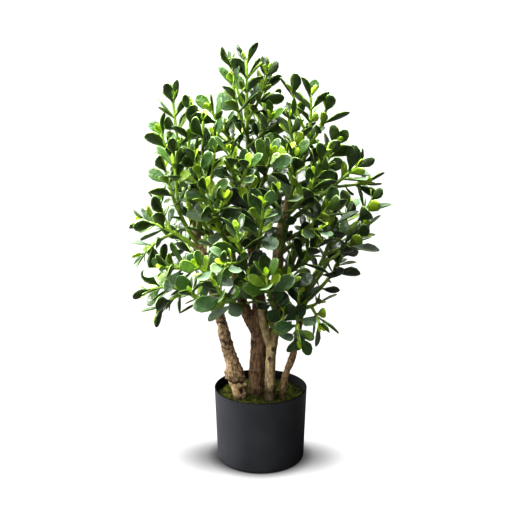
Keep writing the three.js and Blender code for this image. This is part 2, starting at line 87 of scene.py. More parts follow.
CAD_BOX = [list(corner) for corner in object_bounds()]
# Sizes of the plant are given in millimetres, and Blender takes metres.
MM = 0.001
print("solids", len(frame["nodes"]), "box", [[round(x, 3) for x in corner] for corner in CAD_BOX])

# %% [markdown]
# ## Camera and stage
#
# The camera looks slightly down on the plant from a little over a metre away, as one looks at a pot on a
# low table. The stage is one wide pale floor against plain white. One large lamp high above and a little
# to the left does most of the work, so that glossy leaves turn pale where they face it and stay dark
# below. A dim sky and three small lamps lift the shade. Floor and sky look white to the camera, but throw
# only little light on the plant, as if black cards stood round it. Both are shaded by nodes, which `put`
# adds to a tree.

# %% Camera
LENS = 51.36
CAMERA_PLACE = (0.0, -1.125, 0.570)
CAMERA_DOWN = math.radians(11.75)
CAMERA_TURN = math.radians(0.392)

camera = bpy.data.objects.new("camera", bpy.data.cameras.new("camera"))
camera.data.lens = LENS
camera.data.sensor_width = 36
camera.location = CAMERA_PLACE
camera.rotation_euler = (math.pi / 2 - CAMERA_DOWN, 0, CAMERA_TURN)
bpy.context.scene.collection.objects.link(camera)
bpy.context.scene.camera = camera
print("camera", round(math.degrees(CAMERA_DOWN), 2), "degrees down, lens", LENS)

# %% Node helpers
WHITE = (1, 1, 1, 1)


def put(tree, kind, links=None, **settings):
    """Adds a node with its settings. links maps an input's name or number to an output socket or a value."""
    node = tree.nodes.new(kind)
    for key, value in settings.items():
        setattr(node, key, value)
    for key, value in (links or {}).items():
        if isinstance(value, bpy.types.NodeSocket):
            tree.links.new(value, node.inputs[key])
        else:
            node.inputs[key].default_value = value
    return node


def arithmetic(tree, operation, first, second):
    return put(tree, "ShaderNodeMath", {0: first, 1: second}, operation=operation).outputs[0]


def times(tree, first, second):
    return arithmetic(tree, "MULTIPLY", first, second)


def ramp_between(tree, value, low, high, least=0.0, most=1.0):
    """Goes softly from least, where value is low, to most, where it is high, and stays there beyond them."""
    links = {0: value, 1: low, 2: high, 3: least, 4: most}
    return put(tree, "ShaderNodeMapRange", links, interpolation_type="SMOOTHSTEP").outputs[0]


def seen_or_lit(tree, seen, lit):
    """The shader seen for the camera's own rays, and lit for the light that it throws on other things."""
    is_seen = put(tree, "ShaderNodeLightPath").outputs["Is Camera Ray"]
    return put(tree, "ShaderNodeMixShader", {0: is_seen, 1: lit.outputs[0], 2: seen.outputs[0]}).outputs[0]


print("node helpers ready")

# %% Sky
# How much brighter than its base the sky is straight overhead, behind the plant and at its left.
SKY_BASE = 0.02
SKY_OVERHEAD = 0.3
SKY_BEHIND = 0.2
SKY_LEFT = 0.3


def make_sky():
    sky = bpy.data.worlds.new("sky")
    sky.use_nodes = True
    tree = sky.node_tree
    tree.nodes.clear()
    direction = put(tree, "ShaderNodeTexCoord").outputs["Generated"]
    parts = put(tree, "ShaderNodeSeparateXYZ", {0: direction})
    brightness = SKY_BASE
    for axis, way, gain in (("Z", 1, SKY_OVERHEAD), ("Y", 1, SKY_BEHIND), ("X", -1, SKY_LEFT)):
        facing = put(tree, "ShaderNodeMath", {0: parts.outputs[axis], 1: way},
                     operation="MULTIPLY", use_clamp=True).outputs[0]
        brightness = put(tree, "ShaderNodeMath", {0: facing, 1: gain, 2: brightness},
                         operation="MULTIPLY_ADD").outputs[0]
    seen = put(tree, "ShaderNodeBackground", {"Color": WHITE})
    lit = put(tree, "ShaderNodeBackground", {"Color": WHITE, "Strength": brightness})
    put(tree, "ShaderNodeOutputWorld", {0: seen_or_lit(tree, seen, lit)})
    bpy.context.scene.world = sky


make_sky()
print("sky overhead", SKY_BASE + SKY_OVERHEAD, "behind", SKY_BASE + SKY_BEHIND)

# %% Floor
FLOOR_REACH = 30.0
# The camera sees the floor white, but it throws only this share of the light back at the plant.
FLOOR_BOUNCE = 0.05
# The soft shadow is an ellipse round the pot, wider from side to side than from front to back. It is
# darkest inside and starts to fade at this share of the way to its edge.
SHADOW_MIDDLE = (0.0, -0.008, 0.0)
SHADOW_HALF = (0.172, 0.09, 1.0)
SHADOW_DARKEST = 0.12
SHADOW_INNER = 0.3
# Right under the foot it is darker still: how far from the pot that reaches, in metres.
CONTACT_REACH = 0.02


def shadow_round_pot(tree):
    """How bright the floor looks: 1 where it is open, and less near the pot."""
    place = put(tree, "ShaderNodeTexCoord").outputs["Object"]
    moved = put(tree, "ShaderNodeVectorMath", {0: place, 1: SHADOW_MIDDLE}, operation="SUBTRACT")
    shrunk = put(tree, "ShaderNodeVectorMath", {0: moved.outputs[0], 1: SHADOW_HALF}, operation="DIVIDE")
    away = put(tree, "ShaderNodeVectorMath", {0: shrunk.outputs[0]}, operation="LENGTH").outputs["Value"]
    openness = put(tree, "ShaderNodeAmbientOcclusion", {"Distance": CONTACT_REACH}).outputs["AO"]
    return times(tree, ramp_between(tree, away, SHADOW_INNER, 1.0, SHADOW_DARKEST, 1.0), openness)


def make_floor():
    """A wide floor that the camera sees white, but for the shadow round the pot."""
    corners = [(x * FLOOR_REACH, y * FLOOR_REACH, 0) for x, y in ((-1, -1), (1, -1), (1, 1), (-1, 1))]
    mesh = bpy.data.meshes.new("floor")
    mesh.from_pydata(corners, [], [(0, 1, 2, 3)])
    floor = bpy.data.objects.new("floor", mesh)
    bpy.context.scene.collection.objects.link(floor)
    paint = bpy.data.materials.new("floor_paint")
    paint.use_nodes = True
    tree = paint.node_tree
    tree.nodes.clear()
    seen = put(tree, "ShaderNodeEmission", {"Color": WHITE, "Strength": shadow_round_pot(tree)})
    lit = put(tree, "ShaderNodeBsdfDiffuse", {"Color": (FLOOR_BOUNCE, FLOOR_BOUNCE, FLOOR_BOUNCE, 1)})
    put(tree, "ShaderNodeOutputMaterial", {0: seen_or_lit(tree, seen, lit)})
    mesh.materials.append(paint)
    floor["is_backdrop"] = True


make_floor()
print("floor reach", FLOOR_REACH, "m")

# %% Lamps
# Each lamp: where it hangs, where it points, how wide it is in metres, its watts, and how far it spreads.
LAMPS = {
    "top_lamp": ((-0.9, 0.1, 3.9), (0, 0, 0.35), 3.2, 1020, 180),
    "left_lamp": ((-1.1, 0.36, 0.45), (0, 0, 0.2), 0.5, 22, 180),
    "front_lamp": ((-1.2, -1.3, 1.5), (0, 0, 0.35), 0.45, 20, 180),
    "low_lamp": ((-0.5, -1.2, 0.5), (0.01, 0, 0.16), 0.4, 0.2, 34),
}


def hang_lamp(name, place, target, width, watts, spread):
    light = bpy.data.lights.new(name, "AREA")
    light.shape = "DISK"
    light.size = width
    light.energy = watts
    light.spread = math.radians(spread)
    lamp = bpy.data.objects.new(name, light)
    lamp.location = place
    lamp.rotation_euler = (Vector(target) - Vector(place)).to_track_quat("-Z", "Y").to_euler()
    bpy.context.scene.collection.objects.link(lamp)


for name, settings in LAMPS.items():
    hang_lamp(name, *settings)
bpy.context.scene.view_settings.view_transform = "Standard"
bpy.context.scene.view_settings.look = "Medium High Contrast"
print("lamps", list(LAMPS))

# %% [markdown]
# ## Small helpers
#
# Meshes here are made from arrays of points and faces. `tube` sweeps a round section along a path, for
# stems and limbs. The frame of each ring is carried along from the last one, so the tube never twists.

# %% Mesh helpers
# The first ring of a tube takes its bearings from a direction along which no stem here runs.
ASIDE = (0.3, 1, 0.1)


def unit(vector):
    return vector / np.linalg.norm(vector)


def keep_numbers(mesh, name, values, kind="FLOAT"):
    """Keeps a number or a vector with each point of a mesh."""
    numbers = np.ravel(values).astype(np.int32 if kind == "INT" else np.float32)
    key = "vector" if kind == "FLOAT_VECTOR" else "value"
    mesh.attributes.new(name, kind, "POINT").data.foreach_set(key, numbers)


def new_piece(name, points, faces, values=None):
    """An object in metres from points in millimetres, with the values kept at its points by name."""
    mesh = bpy.data.meshes.new(name)
    mesh.from_pydata((np.asarray(points, float) * MM).tolist(), [], faces)
    for key, numbers in (values or {}).items():
        keep_numbers(mesh, key, numbers)
    mesh.shade_smooth()
    piece = bpy.data.objects.new(name, mesh)
    bpy.context.scene.collection.objects.link(piece)
    return piece


def faces_between(rings, sides, first=0):
    """The four-sided faces between rings of points, where first is the first ring's first point."""
    faces = []
    for ring in range(rings - 1):
        start = first + ring * sides
        for k in range(sides):
            a, b = start + k, start + (k + 1) % sides
            faces.append((a, b, b + sides, a + sides))
    return faces


def tube(path, radii, sides):
    """Points and faces of a closed round tube along a path."""
    path = np.asarray(path, float)
    along = np.gradient(path, axis=0)
    side = unit(np.cross(ASIDE, along[0]))
    points = []
    for centre, direction, radius in zip(path, along, radii):
        direction = unit(direction)
        side = unit(side - direction * side.dot(direction))
        front = np.cross(direction, side)
        for k in range(sides):
            angle = 2 * math.pi * k / sides
            points.append(centre + radius * (side * math.cos(angle) + front * math.sin(angle)))
    faces = faces_between(len(path), sides)
    faces.append(tuple(reversed(range(sides))))
    faces.append(tuple(range(len(points) - sides, len(points))))
    return points, faces


def merge(parts):
    """One set of points and faces from several."""
    points, faces = [], []
    for some_points, some_faces in parts:
        faces += [tuple(i + len(points) for i in face) for face in some_faces]
        points += list(some_points)
    return points, faces


def smooth_line(line, steps):
    """A Catmull-Rom curve through the rows of line, with steps points for each stretch."""
    line = np.asarray(line, float)
    padded = np.vstack([2 * line[0] - line[1], line, 2 * line[-1] - line[-2]])
    rows = []
    for i in range(len(line) - 1):
        p0, p1, p2, p3 = padded[i:i + 4]
        for t in np.arange(steps) / steps:
            rows.append(0.5 * (2 * p1 + (p2 - p0) * t + (2 * p0 - 5 * p1 + 4 * p2 - p3) * t ** 2
                               + (3 * p1 - p0 - 3 * p2 + p3) * t ** 3))
    rows.append(line[-1])
    return np.array(rows)


print("mesh helpers ready")

# %% [markdown]
# ## Nodes that grow meshes
#
# Leaves and moss repeat hundreds of times, so Geometry Nodes place them. `grow` runs a tree on an object
# with its named inputs. `settle` turns an object with its modifiers into a plain mesh.

# %% Geometry Nodes helpers


def new_group(kind, name, inputs, outputs):
    """A node group. Its inputs are given as (name, socket type, value), and its outputs as (name, type)."""
    group = bpy.data.node_groups.new(name, kind)
    for label, socket_type, value in inputs:
        socket = group.interface.new_socket(label, in_out="INPUT", socket_type=socket_type)
        if value is not None:
            socket.default_value = value
    for label, socket_type in outputs:
        group.interface.new_socket(label, in_out="OUTPUT", socket_type=socket_type)
    return group, group.nodes.new("NodeGroupInput"), group.nodes.new("NodeGroupOutput")


def growing_tree(name, inputs):
    """A tree from a mesh to a mesh, with the named inputs besides."""
    mesh_in = [("Geometry", "NodeSocketGeometry", None)]
    return new_group("GeometryNodeTree", name, mesh_in + inputs, [("Geometry", "NodeSocketGeometry")])


def named(tree, name, kind="FLOAT"):
    """A number or vector that is kept with the points."""
    return put(tree, "GeometryNodeInputNamedAttribute", {"Name": name}, data_type=kind).outputs["Attribute"]


def settle(piece):
    graph = bpy.context.evaluated_depsgraph_get()
    settled = bpy.data.meshes.new_from_object(piece.evaluated_get(graph), depsgraph=graph)
    before = piece.data
    piece.modifiers.clear()
    piece.data = settled
    bpy.data.meshes.remove(before)


def grow(piece, tree, values):
    modifier = piece.modifiers.new(tree.name, "NODES")
    modifier.node_group = tree
    for item in tree.interface.items_tree:
        if item.item_type == "SOCKET" and item.in_out == "INPUT" and item.name in values:
            modifier[item.identifier] = values[item.name]
    settle(piece)


print("growing helpers ready")

# %% [markdown]
# ## Shared effects
#
# Nothing on a plant has one flat colour. Two effects serve every material: `mottle` mixes two colours by
# a soft noise, and `grain` turns fine noise into a bumpy normal. Both are node groups with named inputs,
# built once and placed in each material with its own scale. Over that ground, `coats_over` lays further
# colours where a mask or a number kept with the points asks for them.

# %% Shader groups
PLACE_INPUTS = [("Vector", "NodeSocketVector", None), ("Scale", "NodeSocketFloat", 100.0),
                ("Detail", "NodeSocketFloat", 3.0)]


def mix_colours(tree, factor, first, second, blend="MIX"):
    """A colour between first and second. Each may be a socket or a value."""
    links = {0: factor, 6: first, 7: second}
    return put(tree, "ShaderNodeMix", links, data_type="RGBA", blend_type=blend).outputs[2]


def cloud(group, inside):
    """Soft noise at the place, scale and detail that a group is given."""
    links = {label: inside.outputs[label] for label in ("Vector", "Scale", "Detail")}
    return put(group, "ShaderNodeTexNoise", links).outputs["Fac"]


def make_mottle():
    inputs = [("Contrast", "NodeSocketFloat", 2.0), ("Dark", "NodeSocketColor", None),
              ("Light", "NodeSocketColor", None)]
    outputs = [("Color", "NodeSocketColor"), ("Mask", "NodeSocketFloat")]
    group, inside, outside = new_group("ShaderNodeTree", "mottle", PLACE_INPUTS + inputs, outputs)
    centred = arithmetic(group, "SUBTRACT", cloud(group, inside), 0.5)
    mask = put(group, "ShaderNodeMath", {0: centred, 1: inside.outputs["Contrast"], 2: 0.5},
               operation="MULTIPLY_ADD", use_clamp=True).outputs[0]
    mixed = mix_colours(group, mask, inside.outputs["Dark"], inside.outputs["Light"])
    group.links.new(mixed, outside.inputs["Color"])
    group.links.new(mask, outside.inputs["Mask"])
    return group


def make_grain():
    inputs = PLACE_INPUTS + [("Height", "NodeSocketFloat", 0.0002)]
    group, inside, outside = new_group("ShaderNodeTree", "grain", inputs, [("Normal", "NodeSocketVector")])
    bump = put(group, "ShaderNodeBump", {
        "Strength": 1.0, "Distance": inside.outputs["Height"], "Height": cloud(group, inside),
    })
    group.links.new(bump.outputs["Normal"], outside.inputs["Normal"])
    return group


MOTTLE = make_mottle()
GRAIN = make_grain()
print("shader groups", MOTTLE.name, GRAIN.name)

# %% Paint helpers


def colour(red, green, blue):
    """A linear colour, as shaders want it, from sRGB numbers from 0 to 255."""
    shares = [channel / 255 for channel in (red, green, blue)]
    return tuple(c / 12.92 if c <= 0.04045 else ((c + 0.055) / 1.055) ** 2.4 for c in shares) + (1,)


def painted(name, **settings):
    """A new material whose plain sockets are set, with its tree, its shader and the place on the piece."""
    material = bpy.data.materials.new(name)
    material.use_nodes = True
    tree = material.node_tree
    shader = tree.nodes["Principled BSDF"]
    for socket, value in settings.items():
        shader.inputs[socket.replace("_", " ")].default_value = value
    return material, tree, shader, put(tree, "ShaderNodeTexCoord").outputs["Object"]


def mottled(tree, place, scale, detail, contrast, dark, light):
    """The mottle group placed in a material. Gives its outputs, Color and Mask."""
    links = {"Vector": place, "Scale": scale, "Detail": detail, "Contrast": contrast}
    return put(tree, "ShaderNodeGroup", {**links, "Dark": dark, "Light": light}, node_tree=MOTTLE).outputs


def grained(tree, place, scale, detail, height):
    """The grain group placed in a material. Gives its normal."""
    links = {"Vector": place, "Scale": scale, "Detail": detail, "Height": height}
    return put(tree, "ShaderNodeGroup", links, node_tree=GRAIN).outputs["Normal"]


def gloss_between(tree, mask, low, high):
    """A roughness from low to high, evenly by a mask."""
    return put(tree, "ShaderNodeMapRange", {0: mask, 3: low, 4: high}).outputs[0]


def point_number(tree, name):
    """A number that is kept with the points."""
    return put(tree, "ShaderNodeAttribute", attribute_name=name).outputs["Fac"]


def coats_over(tree, ground, coats):
    """Lays colours one over another. Each coat is given as its thickness, from 0 to 1, and its colour."""
    for thickness, over in coats:
        ground = mix_colours(tree, thickness, ground, over)
    return ground


def connect(shader, **sources):
    """Links a colour, roughness or normal to each of the shader's sockets that is named."""
    for socket, source in sources.items():
        shader.id_data.links.new(source, shader.inputs[socket.replace("_", " ")])


print("paint helpers ready")

# %% [markdown]
# ## The pot
#
# A plain nursery pot: a thin moulded wall that widens evenly upwards, with a rounded foot and a rounded
# rim. The solid has thirty-two flats and a low band under its rim. A lathe in mesh code turns nearly the
# same profile in many more steps, without the band. Black plastic of this kind has a fine satin grain and
# a broad soft highlight. Little light gets between the wall and the moss, so near-black shade is painted
# on the inner wall and on the rim.

# %% Pot sizes
POT_HEIGHT = 120
RIM_RADIUS = 75
LIP_DROP = 7
LIP_STEP = 0.6
FOOT_RADIUS = 71
POT_WALL = 2.2
POT_FLOOR = 4
FOOT_ROUND = 8
POT_STEPS = 128
# The finished foot ends in an arc: its radius, and the degrees at which it starts.
FOOT_ARC = 5
FOOT_ARC_FROM = -70
FOOT_ARC_POINTS = 6
RIM_ARC_POINTS = 9
# Heights of the rings on the outer wall and the inner one, and how far from the wall the floor is flat.
OUTER_RINGS = (30, 60, 90, 112, POT_HEIGHT - POT_WALL)
INNER_RINGS = (POT_HEIGHT - LIP_DROP, 60, FOOT_ROUND + 2)
FLOOR_CORNER = 4


def body_radius(height):
    """Outer radius of the solid pot below its band."""
    return FOOT_RADIUS + (RIM_RADIUS - LIP_STEP - FOOT_RADIUS) * height / (POT_HEIGHT - LIP_DROP)


def wall_radius(height):
    """Outer radius of the finished pot, which widens evenly from foot to rim."""
    return FOOT_RADIUS + (RIM_RADIUS - FOOT_RADIUS) * height / POT_HEIGHT


def arc(centre, radius, start, end, steps):
    """Points of a profile on a round corner, from the angle start to end in degrees."""
    angles = np.radians(np.linspace(start, end, steps))
    return [(centre[0] + radius * math.cos(a), centre[1] + radius * math.sin(a)) for a in angles]


def faces_to_ends(rings, sides):
    """Faces of rings of points between a first and a last point, with a fan of triangles at either end."""
    last = 1 + rings * sides
    faces = [(0, 1 + (k + 1) % sides, 1 + k) for k in range(sides)]
    faces += faces_between(rings, sides, 1)
    faces += [(last, last - sides + k, last - sides + (k + 1) % sides) for k in range(sides)]
    return faces


def turned(profile, steps):
    """Points and faces of a profile turned about Z. It starts and ends on the axis."""
    angles = [2 * math.pi * k / steps for k in range(steps)]
    points = [(0, 0, profile[0][1])]
    for radius, height in profile[1:-1]:
        points += [(radius * math.cos(angle), radius * math.sin(angle), height) for angle in angles]
    points.append((0, 0, profile[-1][1]))
    return points, faces_to_ends(len(profile) - 2, steps)


print("rim", 2 * RIM_RADIUS, "mm across, foot", 2 * FOOT_RADIUS)

# %% Pot mesh
foot_edge = body_radius(FOOT_ROUND)
rim_middle = RIM_RADIUS - POT_WALL / 2
pot_profile = [(0, 0), (foot_edge - FOOT_ROUND, 0)]
pot_profile += arc((foot_edge - FOOT_ARC, FOOT_ARC), FOOT_ARC, FOOT_ARC_FROM, 0, FOOT_ARC_POINTS)
pot_profile += [(wall_radius(h), h) for h in OUTER_RINGS]
pot_profile += arc((rim_middle, POT_HEIGHT - POT_WALL / 2), POT_WALL / 2, 0, 180, RIM_ARC_POINTS)
pot_profile += [(body_radius(h) - POT_WALL, h) for h in INNER_RINGS]
pot_profile += [(body_radius(0) - POT_WALL - FLOOR_CORNER, POT_FLOOR), (0, POT_FLOOR)]
pot = new_piece("nursery_pot", *turned(pot_profile, POT_STEPS))
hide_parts("pot")
print("pot faces", len(pot.data.polygons))

# %% Satin black plastic
# The painted near-black shade starts and is full so far behind the outer face, and at these heights
# of the inner wall.
INNER_DEPTHS = (0.6, 1.4)
INNER_HEIGHTS = (20, 30)
# On the rim it starts and is full so far below the top.
RIM_DEPTHS = (1.6, 0.6)
INNER_PAINTED_SHADE = colour(3, 3, 3)
INNER_DULLER = 0.5


def painted_inner_shade(tree, place):
    """1 where near-black shade is painted, on the inner wall and the rim, and 0 on the outer wall. Less its
    flare, the wall stands upright, so one limit serves at every height."""
    parts = put(tree, "ShaderNodeSeparateXYZ", {0: place})
    to_axis = put(tree, "ShaderNodeCombineXYZ", {"X": parts.outputs["X"], "Y": parts.outputs["Y"]})
    reach = put(tree, "ShaderNodeVectorMath", {0: to_axis.outputs[0]}, operation="LENGTH").outputs["Value"]
    height = parts.outputs["Z"]
    flare = times(tree, height, (RIM_RADIUS - FOOT_RADIUS) / POT_HEIGHT)
    upright = arithmetic(tree, "SUBTRACT", reach, flare)
    inside = ramp_between(tree, upright, *((FOOT_RADIUS - depth) * MM for depth in INNER_DEPTHS))
    above_floor = ramp_between(tree, height, *(h * MM for h in INNER_HEIGHTS))
    on_rim = ramp_between(tree, height, *((POT_HEIGHT - depth) * MM for depth in RIM_DEPTHS))
    return arithmetic(tree, "MAXIMUM", times(tree, inside, above_floor), on_rim)


plastic, tree, shader, place = painted("satin_black_plastic", Specular_IOR_Level=0.22)
# Near-black shade is painted on the inner wall and the rim.
painted_shade = painted_inner_shade(tree, place)
plastic_tone = mottled(tree, place, scale=26.0, detail=4.0, contrast=1.4,
                       dark=colour(42, 43, 46), light=colour(56, 57, 60))
gloss = gloss_between(tree, plastic_tone["Mask"], 0.38, 0.5)
connect(shader, Base_Color=mix_colours(tree, painted_shade, plastic_tone["Color"], INNER_PAINTED_SHADE),
        Roughness=arithmetic(tree, "ADD", gloss, times(tree, painted_shade, INNER_DULLER)),
        Normal=grained(tree, place, scale=1500.0, detail=3.0, height=0.00012))
pot.data.materials.append(plastic)
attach(pot, "root")
print("pot ready")

# %% [markdown]
# ## Soil
#
# The soil fills the pot below the moss, and only its crumbs would ever show between tufts. Its solid is
# right as it is, so it keeps its mesh and gets a dark crumbly finish.

# %% Soil
soil_paint, tree, shader, place = painted("dark_soil", Roughness=0.95, Specular_IOR_Level=0.2)
soil_tone = mottled(tree, place, scale=320.0, detail=5.0, contrast=3.0,
                    dark=colour(26, 20, 14), light=colour(74, 58, 42))
connect(shader, Base_Color=soil_tone["Color"],
        Normal=grained(tree, place, scale=420.0, detail=6.0, height=0.0016))
soil = frame["nodes"]["soil"]
for material_slot in soil.material_slots:
    material_slot.material = soil_paint
print("soil slots", len(soil.material_slots))

# %% [markdown]
# ## The wood
#
# Old jade wood is smooth and swollen, with rings where leaves once stood, long shallow folds, and knots
# where branches were cut. Each piece of wood is a few tubes along its limbs' centre lines. A voxel Remesh
# melts them into one skin, so that forks flow together, and then each point is moved in or out along its
# normal by a sum of stretched noises. A number kept with each point says how dark or pale the bark is
# painted there, for the bark's colours: painted shade in cracks, hollows and grooves, painted light on
# folds, lumps and knots, dark scars and bands, and darker bark near the moss.

# %% Limbs
# The first limb of each piece goes on down through the moss into the soil, with rings at these heights.
PLUG_HEIGHTS = (60, 84, 104)
# Each limb has the name of its piece, and rows of x, y, z and radius along its centre line.
LIMBS = {
    "left": ("trunk_left", [
        (-33.6, -12, 111, 12.5), (-36.6, -10, 124, 12.8), (-42.4, -6, 143, 15), (-46.3, -2, 164, 10.2),
        (-55.5, 1, 190, 10), (-60.8, 2, 220, 8.1), (-69.5, 3, 250, 7.8), (-76, 5, 285, 8),
        (-85, 8, 320, 7.5), (-98, 11, 350, 6.5), (-103, 13, 378, 5.5)]),
    "centre": ("trunk_centre", [
        (-6, 2, 111, 14), (-6, 2, 140, 13.8), (-4.3, 1, 180, 13.2), (-2.5, 1, 208, 13),
        (0, 2, 232, 13.5), (-3, 5, 262, 11), (-9, 9, 295, 9), (-12, 12, 330, 8), (-17, 14, 370, 7),
        (-20, 15, 410, 6.5), (-20, 16, 445, 5.5)]),
    "centre_left": ("trunk_centre", [
        (-5, 0, 206, 9), (-18, -3, 234, 9.5), (-29, -6, 262, 8), (-38, -8, 298, 6.5), (-44, -6, 332, 6),
        (-49, -2, 368, 5)]),
    "front": ("trunk_front", [
        (15, -24, 111, 9.3), (15, -22, 140, 8.8), (16, -18, 176, 8.3), (18, -14, 200, 9),
        (23, -10, 228, 8.2), (25.5, -6, 260, 8), (25, -2, 295, 8.5), (27, 1, 330, 9), (28, 4, 365, 7.5),
        (37, 7, 400, 6.5), (44, 9, 432, 5.5)]),
    "front_left": ("trunk_front", [
        (15, -15, 190, 6), (9, -20, 214, 6.5), (3, -25, 238, 5.5), (0, -28, 262, 4.5)]),
    "right": ("trunk_right", [
        (35, -14, 111, 6), (38.5, -12, 138, 5.9), (48, -9, 164, 5.8), (55.5, -5, 190, 5.5),
        (61, -2, 222, 5.2), (66, 1, 255, 4.8), (72, 2, 285, 4.5)]),
}
TRUNKS = ["trunk_left", "trunk_centre", "trunk_front", "trunk_right"]
print("limbs", len(LIMBS))

# %% Bark relief
BARK_VOXEL = 0.0013
BARK_SMOOTHING = 6
LIMB_STEPS = 6
LIMB_SIDES = 24
# Knots and hollows: where, how wide, and how far they stand out. A hollow has a slight ring round it.
KNOTS = {
    "trunk_left": [((-28, -22, 119), 6.5, -6.0), ((-25, -16, 128), 4.5, 3.2), ((-55, -9, 147), 5, 1.8),
                   ((-31, -14, 150), 4, 1.5), ((-38, -8, 176), 4, 1.4), ((-58, -8, 203), 4.5, 1.7),
                   ((-62, -7, 232), 4, 1.6)],
    "trunk_centre": [((-2, -13, 150), 6, 1.4), ((-14, -11, 196), 5, -1.8), ((0, -12, 228), 7, 2.2),
                     ((10, -8, 240), 5, 1.8), ((-8, -6, 262), 5, 1.6), ((-28, -14, 262), 4, 1.6)],
    "trunk_front": [((14.4, -27, 174.5), 3.0, -2.6), ((20, -24, 190), 3.0, -1.6), ((20, -30, 142), 4, 1.2),
                    ((27, -18, 214), 5, 1.6), ((30, -14, 252), 4, 1.3)],
    "trunk_right": [((40, -17, 150), 3, 1.0), ((50, -13, 172), 3, 1.0), ((56, -9, 198), 3, 0.9)],
}
# The soft noises of the relief: how wide their waves are, across the wood and upwards.
FOLD_SIZE = (5.5, 34)
WAVE_SIZE = (16, 20)
CRACK_SIZE = (3.2, 13)
LUMP_SIZE = (4.6, 6.5)
SCAR_WANDER_SIZE = (14, 26)
# How far the folds, waves and cracks go out or in, and the small lumps of each trunk.
FOLD_SWELL = 0.75
WAVE_SWELL = 1.0
CRACK_CUT = 0.5
CRACK_SHARPNESS = 5
LUMPS = {"trunk_left": 2.8, "trunk_centre": 1.3, "trunk_front": 0.8, "trunk_right": 1.4}
# Noise below this makes no lump.
LUMP_FLOOR = 0.05
# Rings left by old leaves: how far apart they are, how far they swell and wander, and how narrow.
SCAR_SPACING = 15.0
SCAR_SWELL = 0.7
SCAR_WANDER = 3.5
SCAR_SHARPNESS = 12
# How much darker or paler each of them makes the bark: painted shade in cracks, painted light on
# folds and lumps, and dark scars.
CRACK_PAINTED_SHADE = 0.55
SCAR_DARK = 0.55
FOLD_PAINTED_LIGHT = 0.35
LUMP_PAINTED_LIGHT = 0.5
# Above the moss the bark grows darker towards the bottom: where that ends, and how far below it is full.
BASE_DARK_UNTIL = {"trunk_left": 120, "trunk_centre": 122, "trunk_front": 136, "trunk_right": 124}
BASE_DARK_FADE = 12
BASE_DARKENING = 0.9


def limb_tube(line, has_plug):
    """A tube along a limb. The first limb of a piece has a plug besides, which stands in the soil."""
    rows = smooth_line(line, LIMB_STEPS)
    if has_plug:
        plug = np.array([[line[0][0], line[0][1], z, line[0][3]] for z in PLUG_HEIGHTS])
        rows = np.vstack([plug, rows])
    return tube(rows[:, :3], rows[:, 3], LIMB_SIDES)


def noise_at(place, size, shift):
    """A soft noise whose waves have a size across the wood and another upwards, read at a shifted place."""
    across, upwards = size
    return noise.noise(Vector((place[0] / across + shift[0], place[1] / across + shift[1],
                               place[2] / upwards + shift[2])))


def bell(distance, half):
    """1 at no distance, falling softly to almost nothing at twice the half width."""
    return math.exp(-(distance / half) ** 2)


def relief(place, turn, lump_height, base_dark_until):
    """How far the bark stands out at a place, in millimetres, and how dark it is there."""
    folds = noise_at(place, FOLD_SIZE, (turn, 0, 0))
    waves = noise_at(place, WAVE_SIZE, (turn, 0, 0))
    cracks = max(0, 1 - abs(noise_at(place, CRACK_SIZE, (0, turn, 0))) * CRACK_SHARPNESS)
    lumps = max(0, noise_at(place, LUMP_SIZE, (0, -turn, 0)) - LUMP_FLOOR)
    height = place[2] + SCAR_WANDER * noise_at(place, SCAR_WANDER_SIZE, (0, 0, turn))
    scar = max(0, 1 - abs((height / SCAR_SPACING + turn) % 1 - 0.5) * SCAR_SHARPNESS)
    out = FOLD_SWELL * folds + WAVE_SWELL * waves - CRACK_CUT * cracks
    out += SCAR_SWELL * scar
    out += lump_height * lumps
    # Painted shade darkens the cracks and painted light pales folds and lumps; scars are dark marks.
    dark = CRACK_PAINTED_SHADE * cracks + SCAR_DARK * scar * (0.5 + folds) - FOLD_PAINTED_LIGHT * folds - LUMP_PAINTED_LIGHT * lumps
    dark += BASE_DARKENING * min(1, max(0, (base_dark_until - place[2]) / BASE_DARK_FADE))
    return out, dark


print("knots", sum(len(knots) for knots in KNOTS.values()))

# %% Knots and ledge
KNOT_STEEPNESS = 1.6
# The ring round a knot or hollow: where it lies and its half width, as shares of the knot's own width.
KNOT_RING_AT = 1.25
KNOT_RING_HALF = 0.35
KNOT_RING_SWELL = 0.9
# Painted shade darkens the ring and the hollow, and painted light pales the top of a knot.
KNOT_RING_PAINTED_SHADE = 0.35
KNOT_PAINTED_LIGHT = 0.15
HOLLOW_PAINTED_SHADE = 3.2
# The ledge round the left trunk: its height, how deep and how high the cut is, and the heights between
# which the wood under it is torn and pale.
LEDGE_AT = 133.0
LEDGE_CUT = 2.6
LEDGE_HALF = 2.4
TORN_FROM = 108.0
TORN_UNTIL = 131.0
TORN_CUT = 1.0
# The ridge over the ledge: how far above it, its half width, and how far it swells.
RIDGE_ABOVE = 5
RIDGE_HALF = 3.5
RIDGE_SWELL = 1.1
# The ledge runs up and down a little: in waves round the trunk, and roughly.
LEDGE_WAVE = 1.6
LEDGE_ROUGH = 1.5
# Dark bands round the left trunk: height and half width.
BANDS = [(228, 2.2), (196, 4.0), (186, 1.6)]
# Painted shade darkens the cut under the ledge's ridge; the bands are dark and the torn wood pale.
LEDGE_PAINTED_SHADE = 1.3
BAND_DARK = 0.9
TORN_PALE = 1.1


